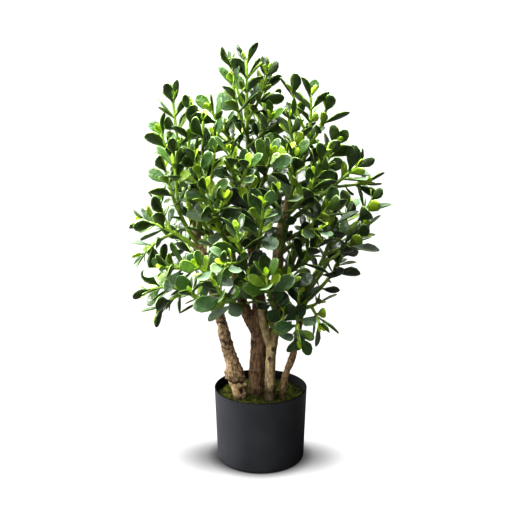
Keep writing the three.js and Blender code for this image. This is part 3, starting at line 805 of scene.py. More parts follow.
def with_knots(place, knots, out, dark):
    """Adds the piece's knots and hollows to its relief at a place."""
    for centre, width, height in knots:
        away = math.dist(place, centre) / width
        bump = math.exp(-away * away * KNOT_STEEPNESS)
        ring = bell(away - KNOT_RING_AT, KNOT_RING_HALF)
        is_hollow = height < 0
        out += height * bump + (KNOT_RING_SWELL * ring if is_hollow else 0)
        # Painted shade in hollows and their rings, and painted light on knots.
        dark += (HOLLOW_PAINTED_SHADE * bump if is_hollow else -KNOT_PAINTED_LIGHT * bump) + KNOT_RING_PAINTED_SHADE * ring
    return out, dark


def ledge(place):
    """How far the left trunk's ledge and bands stand out at a place, and how dark it is there."""
    x, y, z = place
    z += LEDGE_WAVE * math.sin(x * 0.4 + y * 0.3) + LEDGE_ROUGH * noise.noise(Vector((x / 5, y / 5, 2.0)))
    cut = bell(z - LEDGE_AT, LEDGE_HALF)
    torn = 1 if TORN_FROM < z < TORN_UNTIL else 0
    ridge = bell(z - LEDGE_AT - RIDGE_ABOVE, RIDGE_HALF)
    band = sum(bell(z - height, half) for height, half in BANDS)
    out = RIDGE_SWELL * ridge - LEDGE_CUT * cut - TORN_CUT * torn
    # Painted shade darkens the cut, the bands are dark and torn wood is pale.
    return out, LEDGE_PAINTED_SHADE * cut + BAND_DARK * band - TORN_PALE * torn


print("ledge at", LEDGE_AT, "mm")

# %% Carve the wood
# No two trunks read the noise at the same place.
NOISE_TURN = 1.7
# The relief starts in the moss at this height and is full a little higher.
RELIEF_FROM = 100
RELIEF_FADE = 10


def melt_limbs(name):
    """The limbs of one piece of wood as one plain skin."""
    lines = [line for trunk, line in LIMBS.values() if trunk == name]
    wood = new_piece(name + "_bark", *merge([limb_tube(line, i == 0) for i, line in enumerate(lines)]))
    melt = wood.modifiers.new("melt", "REMESH")
    melt.mode = "VOXEL"
    melt.voxel_size = BARK_VOXEL
    wood.modifiers.new("even", "SMOOTH").iterations = BARK_SMOOTHING
    settle(wood)
    return wood


def carve_trunk(name, turn):
    """One piece of wood with the relief of its bark."""
    wood = melt_limbs(name)
    skin = wood.data
    points = np.array([v.co for v in skin.vertices]) / MM
    normals = np.array([v.normal for v in skin.vertices])
    places = [tuple(point) for point in points]
    found = [with_knots(place, KNOTS[name], *relief(place, turn, LUMPS[name], BASE_DARK_UNTIL[name]))
             for place in places]
    out, dark = np.array(found).T
    if name == "trunk_left":
        more_out, more_dark = np.array([ledge(place) for place in places]).T
        out, dark = out + more_out, dark + more_dark
    out = out * np.clip((points[:, 2] - RELIEF_FROM) / RELIEF_FADE, 0, 1)
    skin.vertices.foreach_set("co", ((points + normals * out[:, None]) * MM).ravel())
    keep_numbers(skin, "painted_light_and_bark_marks", dark)
    skin.shade_smooth()
    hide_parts(name)
    return wood


trunks = {name: carve_trunk(name, NOISE_TURN * i) for i, name in enumerate(TRUNKS)}
print("wood faces", {name: len(trunk.data.polygons) for name, trunk in trunks.items()})

# %% Bark colours
# The left trunk is knobby, the middle one dark with upright fibres, and the front one pale and smooth.
# For each: two colours, how far its marks are drawn out upwards, how fine they are and how strong.
BARK_TONES = {
    "trunk_left": ((92, 74, 54), (184, 160, 124), 0.45, 400.0, 3.2),
    "trunk_centre": ((72, 56, 43), (148, 121, 90), 0.14, 420.0, 3.0),
    "trunk_front": ((130, 114, 84), (192, 174, 132), 0.3, 300.0, 2.0),
    "trunk_right": ((92, 72, 50), (168, 142, 106), 0.3, 400.0, 3.0),
}
# Broad blotches darken or warm the bark. They multiply its colour, so they are shares and not paints.
BLOTCH_DARK = (0.55, 0.5, 0.45, 1)
BLOTCH_LIGHT = (1.1, 1.05, 1.0, 1)
BLOTCH_STRENGTH = 0.8
# Where the number kept with the points is low, the bark turns pale like torn wood; this also takes in some
# painted light on folds, lumps and knots.
TORN_WOOD_AND_PAINTED_LIGHT = colour(176, 150, 112)
# Where it is high, the bark turns dark brown: painted shade in cracks, hollows and grooves, with dark scars
# and bands.
DARK_MARKS_AND_PAINTED_SHADE = colour(46, 32, 24)


def bark_material(name, dark, light, drawn_out, fineness, contrast):
    bark, tree, shader, place = painted(name, Specular_IOR_Level=0.3)
    stretched = put(tree, "ShaderNodeMapping", {"Vector": place, "Scale": (1, 1, drawn_out)}).outputs[0]
    streaks = mottled(tree, stretched, scale=fineness, detail=6.0, contrast=contrast,
                      dark=colour(*dark), light=colour(*light))
    blotches = mottled(tree, place, scale=190.0, detail=4.0, contrast=3.2,
                       dark=BLOTCH_DARK, light=BLOTCH_LIGHT)
    ground = mix_colours(tree, BLOTCH_STRENGTH, streaks["Color"], blotches["Color"], blend="MULTIPLY")
    painted_light_and_bark_marks = point_number(tree, "painted_light_and_bark_marks")
    # Pale where torn or painted with light, dark brown with painted shade and dark marks.
    toned = coats_over(tree, ground, [
        (ramp_between(tree, painted_light_and_bark_marks, -0.4, -1.0), TORN_WOOD_AND_PAINTED_LIGHT),
        (times(tree, ramp_between(tree, painted_light_and_bark_marks, 0.15, 1.1), 0.85), DARK_MARKS_AND_PAINTED_SHADE),
    ])
    connect(shader, Base_Color=toned, Roughness=gloss_between(tree, streaks["Mask"], 0.62, 0.85),
            Normal=grained(tree, stretched, scale=700.0, detail=6.0, height=0.0007))
    return bark


for name, trunk in trunks.items():
    trunk.data.materials.append(bark_material(name + "_bark", *BARK_TONES[name]))
    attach(trunk, "root")
print("bark materials", len(BARK_TONES))

# %% [markdown]
# ## Where the leafy stems run
#
# Each spray is a main shoot from a limb with side shoots on it, all of them quadratic curves. The rows
# below say where each starts and ends. A shoot springs outwards and turns up towards its tip.

# %% Spray rows
# The share of a shoot, from its tip, that carries full leaves.
MAIN_LEAFY = 0.4
SIDE_LEAFY = 0.52


def row(limb, at, tip, sides=(), via=None, leafy=MAIN_LEAFY, phase=None):
    """A main shoot: its limb and its station there, its tip, its side shoots, and a point it goes by."""
    return {"limb": limb, "at": at, "tip": tip, "sides": sides, "via": via, "leafy": leafy, "phase": phase}


# Each side shoot is given as its share of the way along the main one, and its tip.
SPRAYS = [
    row("centre", 10, (-22, 12, 634), [(0.33, (-74, -10, 560)), (0.38, (13, -8, 548)),
        (0.48, (-42, -2, 600)), (0.68, (-46, 12, 626)), (0.6, (8, 4, 612))]),
    row("centre", 9.3, (6, 42, 590)),
    row("left", 10, (-134, 8, 576), [(0.42, (-106, -4, 562)), (0.5, (-152, 2, 526))]),
    row("left", 9.5, (-86, -22, 545), [(0.6, (-68, -32, 520))]),
    row("left", 9.1, (-144, -25, 474), [(0.5, (-128, -46, 500))]),
    row("centre_left", 5, (-98, -45, 490), [(0.6, (-68, -48, 500))]),
    row("centre_left", 4.5, (-80, -64, 450), [(0.6, (-55, -78, 436))], leafy=0.7),
    row("left", 8.7, (-180, 0, 390), [(0.5, (-158, 8, 420)), (0.45, (-180, -16, 344))],
        via=(-140, 2, 375), leafy=0.7),
    row("left", 7.9, (-146, -38, 326), leafy=0.75),
    row("left", 5.4, (-178, 0, 281), [(0.45, (-154, -6, 328)), (0.25, (-104, -52, 288)),
        (0.5, (-156, -22, 258))], via=(-118, -2, 279), leafy=0.8, phase=0),
    row("centre_left", 3, (-90, -92, 338), leafy=0.7),
    row("centre_left", 1.8, (-64, -98, 310), leafy=0.7),
    row("centre", 5.6, (-34, -95, 392), [(0.6, (-50, -112, 348))]),
    row("centre", 6.8, (3, -92, 425)),
    row("front", 4.6, (8, -95, 325)),
    row("front", 5.7, (42, -70, 318), leafy=0.7),
    row("front_left", 3, (-18, -60, 308), leafy=0.7),
    row("front", 6.9, (51, -44, 494), [(0.55, (80, -52, 466)), (0.4, (20, -62, 442))]),
    row("front", 10, (75, 8, 583), [(0.3, (42, -14, 548)), (0.5, (98, 0, 562)), (0.62, (48, 4, 586))],
        via=(70, 8, 503)),
    row("front", 9.3, (112, -4, 510), [(0.6, (96, -30, 498))]),
    row("front", 8.4, (146, 0, 476), [(0.35, (92, 32, 450)), (0.6, (162, 12, 450))], via=(98, -4, 436)),
    row("right", 6, (112, -8, 425), [(0.3, (158, -6, 384)), (0.52, (170, -8, 426)),
        (0.42, (144, 34, 352))], via=(104, -4, 350)),
    row("front", 6.2, (84, -32, 358), leafy=0.7),
    row("front", 3.4, (36, -46, 256), leafy=0.8),
    row("right", 4.3, (58, -40, 284), leafy=0.8),
    row("right", 4.9, (88, -28, 268), [(0.5, (90, -50, 240))], leafy=0.85, phase=0),
    row("right", 3.5, (58, -52, 217), via=(57, -42, 236), leafy=0.6, phase=0),
    row("front", 7.8, (98, -52, 420), [(0.5, (84, -64, 390))]),
    row("centre", 8.6, (-46, -55, 500), [(0.6, (-20, -72, 480))]),
    row("centre", 9.0, (14, -55, 498), [(0.6, (38, -48, 502))]),
    row("front", 8.9, (88, -45, 492)),
    row("left", 9.3, (-116, 72, 490)),
    row("centre", 9.6, (-58, 82, 530), [(0.6, (-24, 92, 560))]),
    row("centre", 9.0, (0, 112, 535)),
    row("front", 9.6, (56, 82, 550), [(0.55, (80, 92, 520))]),
    row("front", 9.0, (100, 78, 480)),
    row("left", 8.9, (-128, 76, 436)),
    row("left", 7.8, (-136, 92, 352)),
    row("left", 8.4, (-95, 135, 410)),
    row("centre", 8.2, (-45, 146, 455)),
    row("centre", 7.5, (18, 158, 415)),
    row("front", 8.2, (65, 140, 455)),
    row("front", 7.2, (105, 126, 390)),
    row("right", 5.6, (146, 75, 400)),
    row("right", 5.1, (136, 70, 322)),
    row("front", 6.1, (62, 130, 325)),
    row("centre", 6.1, (-18, 135, 341)),
    row("left", 6.8, (-85, 112, 305)),
    row("centre_left", 3.7, (-62, 62, 402)),
    row("centre_left", 4.1, (-88, -18, 392), leafy=0.7),
    row("centre", 7.7, (-12, -66, 446), leafy=0.6),
]
print("sprays", len(SPRAYS))

# %% [markdown]
# ## Placing the leaves
#
# Jade leaves stand in pairs, each pair crosswise to the last, small and upright at the tip and wider open
# below. The rule is the solids' own: seeded draws vary each leaf, and a leaf that would meet another is
# swung, opened or shrunk, and else left out. Two convex blocks are clear of each other when they part
# along the normal of a face or the cross product of two edges.

# %% Leaf sizes
STEM_BASE_RADIUS = 4.2
STEM_TIP_RADIUS = 2
SIDE_BASE_RADIUS = 2.4
# The straight stretches of a solid stem.
MAIN_ROWS = 3
SIDE_ROWS = 2
# Where a stem bends: its share of the way to the tip, sideways and upwards.
STEM_BEND = np.array((0.68, 0.68, 0.36))
LEAF_LENGTH = 44
LEAF_WIDTH = 24.5
LEAF_KEEL = 3.4
LEAF_CLEARANCE = 0.45
# Half of a solid leaf's outline, as shares of its length and width, and where along it the keel is.
LEAF_OUTLINE = [(0, 0), (0.45, 0.45), (0.82, 0.45), (1, 0)]
KEEL_ALONG = 0.42
LEAF_RISE = 0.05
LEAF_TWIST = 55
# A leaf's own size and curl: the least, and how much more chance can give.
SIZE_LEAST = 0.86
SIZE_MORE = 0.28
CURL_LEAST = -0.1
CURL_MORE = 0.18
# A leaf's face turns to the light, which comes from outside, from above and from along its stem.
LIGHT_OUTSIDE = 0.6
LIGHT_ABOVE = 0.6
LIGHT_STEM = 0.4
# Degrees by which the pairs open and their sizes, from the tip down, and how far apart they stand.
PAIR_OPENING = [30, 48, 60, 70, 76]
PAIR_SIZE = [0.8, 0.96, 1.03, 1.05, 1.03]
PAIR_FIRST = 4
PAIR_SPACING = 15.2
PAIR_STRETCH = 0.8
UP = np.array((0.0, 0.0, 1.0))
# Ways to try a leaf: degrees swung round the stem, degrees opened further, and share of its size.
TRIES = [(0, 0, 1), (20, 0, 1), (-20, 0, 1), (0, -13, 1), (0, 14, 1), (38, 0, 0.9), (-38, 0, 0.9),
         (0, -20, 0.8), (0, 0, 0.75)]
print("a full leaf is", LEAF_LENGTH, "x", LEAF_WIDTH, "mm")

# %% Blocks that must stay clear of each other
# A cross product shorter than this comes from two edges that run almost the same way, and says nothing.
NEARLY_PARALLEL = 0.05
# Park and Miller's factor and range for random draws, and the numbers that turn a seed into a start.
DICE_FACTOR = 16807
DICE_RANGE = 2147483647
SEED_FACTOR = 7919
SEED_SHIFT = 17


def dice(seed):
    """A seeded row of numbers from 0 to 1."""
    state = seed * SEED_FACTOR + SEED_SHIFT
    while True:
        state = (state * DICE_FACTOR) % DICE_RANGE
        yield state / DICE_RANGE


class Block:
    """A convex solid: its corners, the directions across its faces and those along its edges."""

    def __init__(self, corners, faces, edges):
        self.corners = np.array(corners)
        self.faces = np.array(faces)
        self.edges = np.array(edges)
        self.middle = self.corners.mean(axis=0)
        self.reach = np.linalg.norm(self.corners - self.middle, axis=1).max()


def are_apart(a, b, gap):
    """Whether two blocks part by more than a gap along one of their directions."""
    between = b.middle - a.middle
    if np.linalg.norm(between) > a.reach + b.reach + gap:
        return True
    crosses = np.cross(a.edges[:, None, :], b.edges[None, :, :]).reshape(-1, 3)
    directions = np.vstack([between, a.faces, b.faces, crosses])
    sizes = np.linalg.norm(directions, axis=1)
    directions = directions[sizes > NEARLY_PARALLEL] / sizes[sizes > NEARLY_PARALLEL, None]
    on_a = a.corners @ directions.T
    on_b = b.corners @ directions.T
    parted = (on_a.max(axis=0) + gap < on_b.min(axis=0)) | (on_b.max(axis=0) + gap < on_a.min(axis=0))
    return bool(parted.any())


def ring_at(centre, radius, along, side):
    return {"centre": centre, "radius": radius, "side": side, "front": unit(np.cross(side, along))}


def limb_stations(line):
    """The rings of a limb's solid."""
    centres = np.array(line, float)[:, :3]
    stations = []
    for i, centre in enumerate(centres):
        along = unit(centres[min(i + 1, len(line) - 1)] - centres[max(i - 1, 0)])
        side = unit(np.cross((0, 1, 0), along))
        stations.append(ring_at(centre, line[i][3], along, side))
    return stations


def blocks_along(stations, slack):
    """A block for each straight stretch between rings, wider than its solid by the factor slack."""
    blocks = []
    for start, end in zip(stations, stations[1:]):
        corners = []
        for ring in (start, end):
            half = ring["radius"] * slack
            for x, z in ((1, 1), (1, -1), (-1, 1), (-1, -1)):
                corners.append(ring["centre"] + ring["side"] * x * half + ring["front"] * z * half)
        along = unit(end["centre"] - start["centre"])
        faces = [start["side"], start["front"], end["side"], end["front"], along]
        blocks.append(Block(corners, faces, [along]))
    return blocks


print("block test ready")

# %% Shoots


class Shoot:
    """A stem on a quadratic curve, with the straight stretches of its solid."""

    def __init__(self, start, tip, via, base_radius, rows, phase):
        start, tip = np.array(start, float), np.array(tip, float)
        bend = start + (tip - start) * STEM_BEND
        if via is not None:
            bend = 2 * np.array(via, float) - (start + tip) / 2
        self.start, self.bend, self.tip, self.phase = start, bend, tip, phase
        self.square = unit(np.cross(bend - start, tip - start))
        self.length = (math.dist(start, bend) + math.dist(bend, tip) + math.dist(start, tip)) / 2
        self.base_radius = base_radius
        self.root = start
        self.stations = []
        for k in range(rows + 1):
            t = k / rows
            side = self.outwards(t, phase + math.pi / 4)
            self.stations.append(ring_at(self.curve(t, start), self.radius(t), self.heading(t), side))

    def radius(self, t):
        return self.base_radius + (STEM_TIP_RADIUS - self.base_radius) * t

    def curve(self, t, start):
        return start * (1 - t) ** 2 + self.bend * 2 * t * (1 - t) + self.tip * t * t

    def smooth_point(self, t):
        """A point of the smooth stem, which springs from root."""
        return self.curve(t, self.root)

    def heading(self, t):
        return unit((self.bend - self.start) * (1 - t) + (self.tip - self.bend) * t)

    def solid_point(self, t):
        """The middle of the solid stem, on the straight between two of its rings."""
        rows = len(self.stations) - 1
        k = min(int(t * rows), rows - 1)
        first, second = self.stations[k]["centre"], self.stations[k + 1]["centre"]
        return first + (second - first) * (t * rows - k)

    def outwards(self, t, azimuth):
        """The direction away from the stem at an angle round it."""
        front = np.cross(self.square, self.heading(t))
        return self.square * math.cos(azimuth) + front * math.sin(azimuth)


def limb_point(name, station):
    """A point on a limb's line: a station of 2.5 lies halfway between its rows 2 and 3."""
    line = np.array(LIMBS[name][1], float)[:, :3]
    i = min(int(station), len(line) - 2)
    return line[i] + (line[i + 1] - line[i]) * (station - i)


def make_spray(spray_row, number):
    draw = dice(number + 1)
    start = limb_point(spray_row["limb"], spray_row["at"])
    phase = spray_row["phase"] if spray_row["phase"] is not None else next(draw) * math.pi
    main = Shoot(start, spray_row["tip"], spray_row["via"], STEM_BASE_RADIUS, MAIN_ROWS, phase)
    main.leafy = spray_row["leafy"]
    shoots = [main]
    for share, tip in spray_row["sides"]:
        side = Shoot(main.solid_point(share), tip, None, SIDE_BASE_RADIUS, SIDE_ROWS, next(draw) * math.pi)
        side.leafy = SIDE_LEAFY
        side.root = main.smooth_point(share)
        shoots.append(side)
    return {"draw": draw, "shoots": shoots, "leaves": [], "name": f"spray_{number + 1:02d}"}


sprays = [make_spray(spray_row, number) for number, spray_row in enumerate(SPRAYS)]
print("shoots", sum(len(spray["shoots"]) for spray in sprays))

# %% Leaf poses


def pose_leaf(shoot, t, azimuth, opening, twist, size, curl):
    """A leaf on its stem's centre line. Its face turns to the light, up and away from the trunk."""
    base = shoot.solid_point(t)
    stem = shoot.heading(t)
    along = unit(stem * math.cos(opening) + shoot.outwards(t, azimuth) * math.sin(opening) + UP * LEAF_RISE)
    outside = unit(np.array((base[0], base[1], 0.0)))
    light = outside * LIGHT_OUTSIDE + UP * LIGHT_ABOVE + stem * LIGHT_STEM
    up = unit(light - along * light.dot(along))
    up = up * math.cos(twist) + np.cross(along, up) * math.sin(twist)
    return {"base": base, "along": along, "up": up, "side": np.cross(along, up), "size": size, "curl": curl,
            "length": LEAF_LENGTH * size, "width": LEAF_WIDTH * size, "shoot": shoot, "t": t}


def leaf_point(leaf, a, b, depth):
    """A point of a leaf's solid: share a along it, share b across it, and so deep under its face."""
    rise = leaf["curl"] * leaf["length"] * a * a - depth * leaf["size"]
    return (leaf["base"] + leaf["along"] * (a * leaf["length"]) + leaf["side"] * (b * leaf["width"])
            + leaf["up"] * rise)


def leaf_block(leaf):
    """The six corners of a leaf's outline and its keel."""
    corners = [leaf_point(leaf, a, b, 0) for a, b in LEAF_OUTLINE]
    corners += [leaf_point(leaf, a, -b, 0) for a, b in LEAF_OUTLINE[1:-1]]
    corners.append(leaf_point(leaf, KEEL_ALONG, 0, LEAF_KEEL))
    faces = [leaf["up"], leaf["along"], leaf["side"]]
    for i in (1, 3):
        rise = (LEAF_OUTLINE[i][0] - LEAF_OUTLINE[i - 1][0]) * leaf["length"]
        run = (LEAF_OUTLINE[i][1] - LEAF_OUTLINE[i - 1][1]) * leaf["width"]
        for hand in (1, -1):
            faces.append(leaf["along"] * -run + leaf["side"] * (hand * rise))
    return Block(corners, faces, [leaf["along"], leaf["side"]])


class Room:
    """All blocks placed so far. It first looks only at those near enough to meet a new one."""

    def __init__(self):
        self.blocks, self.stems, self.pairs = [], [], []
        self.middles = np.zeros((0, 3))
        self.reaches = np.zeros(0)

    def add(self, block, stem=None, pair=None):
        self.blocks.append(block)
        self.stems.append(stem)
        self.pairs.append(pair)
        self.middles = np.vstack([self.middles, block.middle])
        self.reaches = np.append(self.reaches, block.reach)

    def has_space(self, block, shoot, pair, gap):
        """Whether a leaf is clear of all but its own stem and the other leaf of its pair."""
        away = np.linalg.norm(self.middles - block.middle, axis=1)
        near = np.nonzero(away <= self.reaches + block.reach + gap)[0]
        return all(self.stems[i] is shoot or self.pairs[i] == (shoot, pair)
                   or are_apart(block, self.blocks[i], gap) for i in near)

    def first_that_fits(self, tried_leaves, shoot, pair, gap):
        """A list with the first of the tried leaves that has space, which takes it, or an empty list."""
        for leaf in tried_leaves:
            block = leaf_block(leaf)
            if self.has_space(block, shoot, pair, gap):
                self.add(block, pair=(shoot, pair))
                return [leaf]
        return []


print("leaf poses ready")

# %% Grow the full leaves
LIMB_SLACK = 1.08
room = Room()
for trunk, line in LIMBS.values():
    for block in blocks_along(limb_stations(line), LIMB_SLACK):
        room.add(block)
for spray in sprays:
    for shoot in spray["shoots"]:
        for block in blocks_along(shoot.stations, 1):
            room.add(block, stem=shoot)


def pair_back(pair):
    """How far from the tip a pair stands."""
    return PAIR_FIRST + PAIR_SPACING * pair + PAIR_STRETCH * pair * pair


def pairs_within(reach, first=0):
    """The numbers of the pairs, from the first on, that stand within reach of the tip."""
    pair = first
    while pair_back(pair) <= reach:
        yield pair
        pair += 1


def grow_pair(spray, shoot, pair):
    draw = spray["draw"]
    rank = min(pair, len(PAIR_SIZE) - 1)
    t = 1 - pair_back(pair) / shoot.length
    for half in (0, 180):
        size = PAIR_SIZE[rank] * (SIZE_LEAST + SIZE_MORE * next(draw))
        twist = math.radians(LEAF_TWIST * (2 * next(draw) - 1))
        curl = CURL_LEAST + CURL_MORE * next(draw)
        tried = (pose_leaf(shoot, t, shoot.phase + math.radians(90 * pair + half + swing),
                           math.radians(PAIR_OPENING[rank] + more), twist, size * shrink, curl)
                 for swing, more, shrink in TRIES)
        spray["leaves"] += room.first_that_fits(tried, shoot, pair, LEAF_CLEARANCE)


for spray in sprays:
    for shoot in spray["shoots"]:
        for pair in pairs_within(shoot.leafy * shoot.length):
            grow_pair(spray, shoot, pair)
full_leaves = sum(len(spray["leaves"]) for spray in sprays)
print("full leaves", full_leaves)

# %% Shade inside the crown
CROWN_MIDDLE = np.array((15, 10, 385))
CROWN_REACH = np.array((190, 160, 240))
# How deep the shade starts and is full: 0 at the crown's outside and 1 at its middle.
SHADE_STARTS = 0.12
SHADE_FULL = 0.6
# The crown is made of clumps, with darker leaves between them.
SHADE_CLUMPS = 0.35
CLUMP_SIZE = 42.0


def crown_shade(place):
    """0 for what grows at the outside of the crown, and 1 for what grows deep inside, in its shade."""
    place = np.asarray(place)
    depth = 1 - np.linalg.norm((place - CROWN_MIDDLE) / CROWN_REACH)
    depth += SHADE_CLUMPS * noise.noise(Vector(place / CLUMP_SIZE))
    return float(np.clip((depth - SHADE_STARTS) / (SHADE_FULL - SHADE_STARTS), 0, 1))


print("crown reach", CROWN_REACH.tolist(), "mm")

# %% [markdown]
# ## Young leaves
#
# The full leaves alone leave the crown too open. A real jade tree also carries small bright leaves at
# every tip, and more where new shoots break beside an old pair. Those along a stem are placed by the same
# test as the full leaves, so that none of them cuts through a leaf of another pair. Those at a tip stand
# close together, as a bud does, and aren't tested.

# %% Place the young leaves
YOUNG_SEED = 41
YOUNG_TWIST = 40
YOUNG_CURL = (-0.1, 0.1)
YOUNG_CLEARANCE = 0.2
# The first three of the leaf shapes are broad, and the last one, for the youngest leaves, is slim.
BROAD_KINDS = 3
YOUNG_KIND = 3
INNER_REACH = 0.8
# The leaves at a tip: degrees round the stem, size, degrees opened, and the leaf shape.
TIP_LEAVES = [(90, 0.44, 30, 1), (270, 0.36, 34, 2), (0, 0.26, 16, 2), (180, 0.24, 18, 3)]
# Between which bounds each of them changes by chance: more degrees round the stem, share of its size,
# more degrees opened, curl, and how fresh its green is.
TIP_SWINGS = (-12, 12)
TIP_SIZES = (0.85, 1.2)
TIP_OPENINGS = (-4, 6)
TIP_CURLS = (-0.1, 0.15)
TIP_FRESH = (0.7, 1.0)
# Ways to try a small leaf, as for the full ones.
YOUNG_TRIES = [(0, 0, 1), (30, 10, 0.9), (-30, -10, 0.9), (0, -20, 0.75), (15, 20, 0.7), (-15, 0, 0.55)]
# Small leaves stand beside a full pair, in its axils, and as older pairs further down in the crown's
# shade: degrees round the stem, millimetres below the pair, least and most size, degrees opened, the size
# below which a leaf is slim, and how fresh its green is.
AXIL = {"halves": (90, 270), "below": 1.5, "sizes": (0.45, 0.85), "opening": 48, "slim": 0.62,
        "fresh": (0.15, 0.6)}
INNER = {"halves": (0, 180), "below": 0, "sizes": (0.55, 0.9), "opening": 60, "slim": 0, "fresh": None}
chance = np.random.default_rng(YOUNG_SEED)


def young_leaf(shoot, t, azimuth, opening, size, curl, kind, fresh):
    twist = math.radians(chance.uniform(-YOUNG_TWIST, YOUNG_TWIST))
    leaf = pose_leaf(shoot, t, azimuth, math.radians(opening), twist, size, curl)
    leaf["kind"], leaf["fresh"] = kind, fresh
    return leaf


def grow_tip(spray, shoot):
    """Two bright leaves at the very tip, crosswise to the first pair, and a bud of two between them."""
    for half, size, opening, kind in TIP_LEAVES:
        azimuth = shoot.phase + math.radians(half + chance.uniform(*TIP_SWINGS))
        grown = size * chance.uniform(*TIP_SIZES)
        opened = opening + chance.uniform(*TIP_OPENINGS)
        curl = chance.uniform(*TIP_CURLS)
        fresh = chance.uniform(*TIP_FRESH)
        spray["leaves"].append(young_leaf(shoot, 1.0, azimuth, opened, grown, curl, kind, fresh))


def young_tries(shoot, t, turned_by, size, style):
    """Small leaves to try one after another at one side of a stem. Each draws its shape and curl anew."""
    for swing, more, shrink in YOUNG_TRIES:
        kind = YOUNG_KIND if size < style["slim"] else int(chance.integers(BROAD_KINDS))
        azimuth = shoot.phase + math.radians(turned_by + swing)
        curl = chance.uniform(*YOUNG_CURL)
        fresh = chance.uniform(*style["fresh"]) if style["fresh"] else 0.0
        yield young_leaf(shoot, t, azimuth, style["opening"] + more, size * shrink, curl, kind, fresh)


def grow_small_pair(spray, shoot, pair, style):
    """Small leaves at the height of a pair, where they find room."""
    t = 1 - (pair_back(pair) + style["below"]) / shoot.length
    for half in style["halves"]:
        size = chance.uniform(*style["sizes"])
        tried = young_tries(shoot, t, 90 * pair + half, size, style)
        spray["leaves"] += room.first_that_fits(tried, shoot, pair, YOUNG_CLEARANCE)


for spray in sprays:
    for shoot in spray["shoots"]:
        pairs = list(pairs_within(shoot.leafy * shoot.length))
        for pair in pairs[1:]:
            grow_small_pair(spray, shoot, pair, AXIL)
        for pair in pairs_within(shoot.length * INNER_REACH, first=len(pairs)):
            grow_small_pair(spray, shoot, pair, INNER)
        grow_tip(spray, shoot)
young = sum(len(spray["leaves"]) for spray in sprays) - full_leaves
print("young leaves", young)

# %% [markdown]
# ## The stems
#
# A green jade stem is fleshy and round, thicker at each ring where a pair of leaves stands or once stood,
# and it turns to bark near the limb. Each shoot is a tube with more rings at those scars. Age is kept
# with each point.

# %% Stem tubes
STEM_FACETS = 8
# A scar's swelling: how far it reaches along the stem, and its share of the stem's radius. The oldest
# scars end so far from the limb.
SCAR_REACH = 2.6
SCAR_THICKER = 1.2
SCARS_END = 14
# Shares of the stem's radius at the limb, where its collar ends, and at the tip.
COLLAR = 1.35
COLLAR_END = 1.08
TIP_THINNER = 0.8
COLLAR_LENGTH = 7
# Side shoots are younger than main ones, by their radius and this much.
SIDE_AGE = 0.2


def stem_tube(shoot):
    """A tube along the smooth stem, with its age for each point: 1 at the limb and 0 at the tip."""
    rings = {0.0: COLLAR, COLLAR_LENGTH / shoot.length: COLLAR_END, 1.0: TIP_THINNER}
    for pair in pairs_within(shoot.length - SCARS_END):
        for step, swell in ((-SCAR_REACH, 1.0), (0, SCAR_THICKER), (SCAR_REACH, 1.0)):
            rings[1 - (pair_back(pair) + step) / shoot.length] = swell
    shares = sorted(rings)
    path = [shoot.smooth_point(t) for t in shares]
    radii = [shoot.radius(t) * rings[t] for t in shares]
    points, faces = tube(path, radii, STEM_FACETS)
    ages = np.repeat([1 - t for t in shares], STEM_FACETS)
    return points, faces, ages * min(1, shoot.base_radius / STEM_BASE_RADIUS + SIDE_AGE)


def spray_stems(spray):
    tubes = [stem_tube(shoot) for shoot in spray["shoots"]]
    ages = np.concatenate([found[2] for found in tubes])
    points, faces = merge([found[:2] for found in tubes])
    shades = [crown_shade(point) for point in points]
    return new_piece(spray["name"] + "_stems", points, faces, {"age": ages, "shade": shades})


print("stem facets", STEM_FACETS)

# %% [markdown]
# ## Leaf shapes
#
# A jade leaf is thick and spoon-shaped: narrow at the heel, broadest two thirds of the way up, with a
# blunt point. Its face is nearly flat with a faint groove, and its back is round. Eight points make a
# section and six sections a leaf. Each point keeps three numbers for the colours: how far along and
# across it lies, and whether it is on the face.

# %% Leaf meshes
LEAF_HALF_WIDTH = 11.6
# How far below the face the heel and the point of a leaf lie.
HEEL_DROP = 1.2
POINT_DROP = 0.6
# Rings of a leaf: share of its length, share of the half width, share of the thickness.
BROAD_RINGS = [(0.04, 0.16, 0.8), (0.2, 0.24, 0.85), (0.4, 0.68, 1.0), (0.62, 1.0, 0.95), (0.83, 0.82, 0.8),
               (0.955, 0.38, 0.6)]
ROUND_RINGS = [(0.04, 0.16, 0.8), (0.2, 0.26, 0.85), (0.42, 0.8, 1.0), (0.64, 1.0, 0.95), (0.85, 0.84, 0.8),
               (0.96, 0.44, 0.6)]
SLIM_RINGS = [(0.05, 0.2, 0.9), (0.22, 0.34, 1.0), (0.42, 0.6, 1.0), (0.63, 0.68, 0.95), (0.83, 0.48, 0.8),
              (0.95, 0.2, 0.5)]
# Points of a section: share of the width, height in millimetres, and 1 on the face or 0 on the back.
LEAF_SECTION = [(1, -0.6, 0.5), (0.82, 0.15, 1), (0, -0.2, 1), (-0.82, 0.15, 1), (-1, -0.6, 0.5),
                (-0.6, -2.1, 0), (0, -2.9, 0), (0.6, -2.1, 0)]
# Each shape: its rings, how far its edges lift, and how far its middle line sways. The tree below picks
# them by number, in the order of their names.
LEAF_SHAPES = {
    "leaf_0_flat": (BROAD_RINGS, 1.6, 0.5),
    "leaf_1_cupped": (BROAD_RINGS, 3.4, -0.8),
    "leaf_2_round": (ROUND_RINGS, 2.6, 0.3),
    "leaf_3_slim": (SLIM_RINGS, 2.2, 0.2),
}


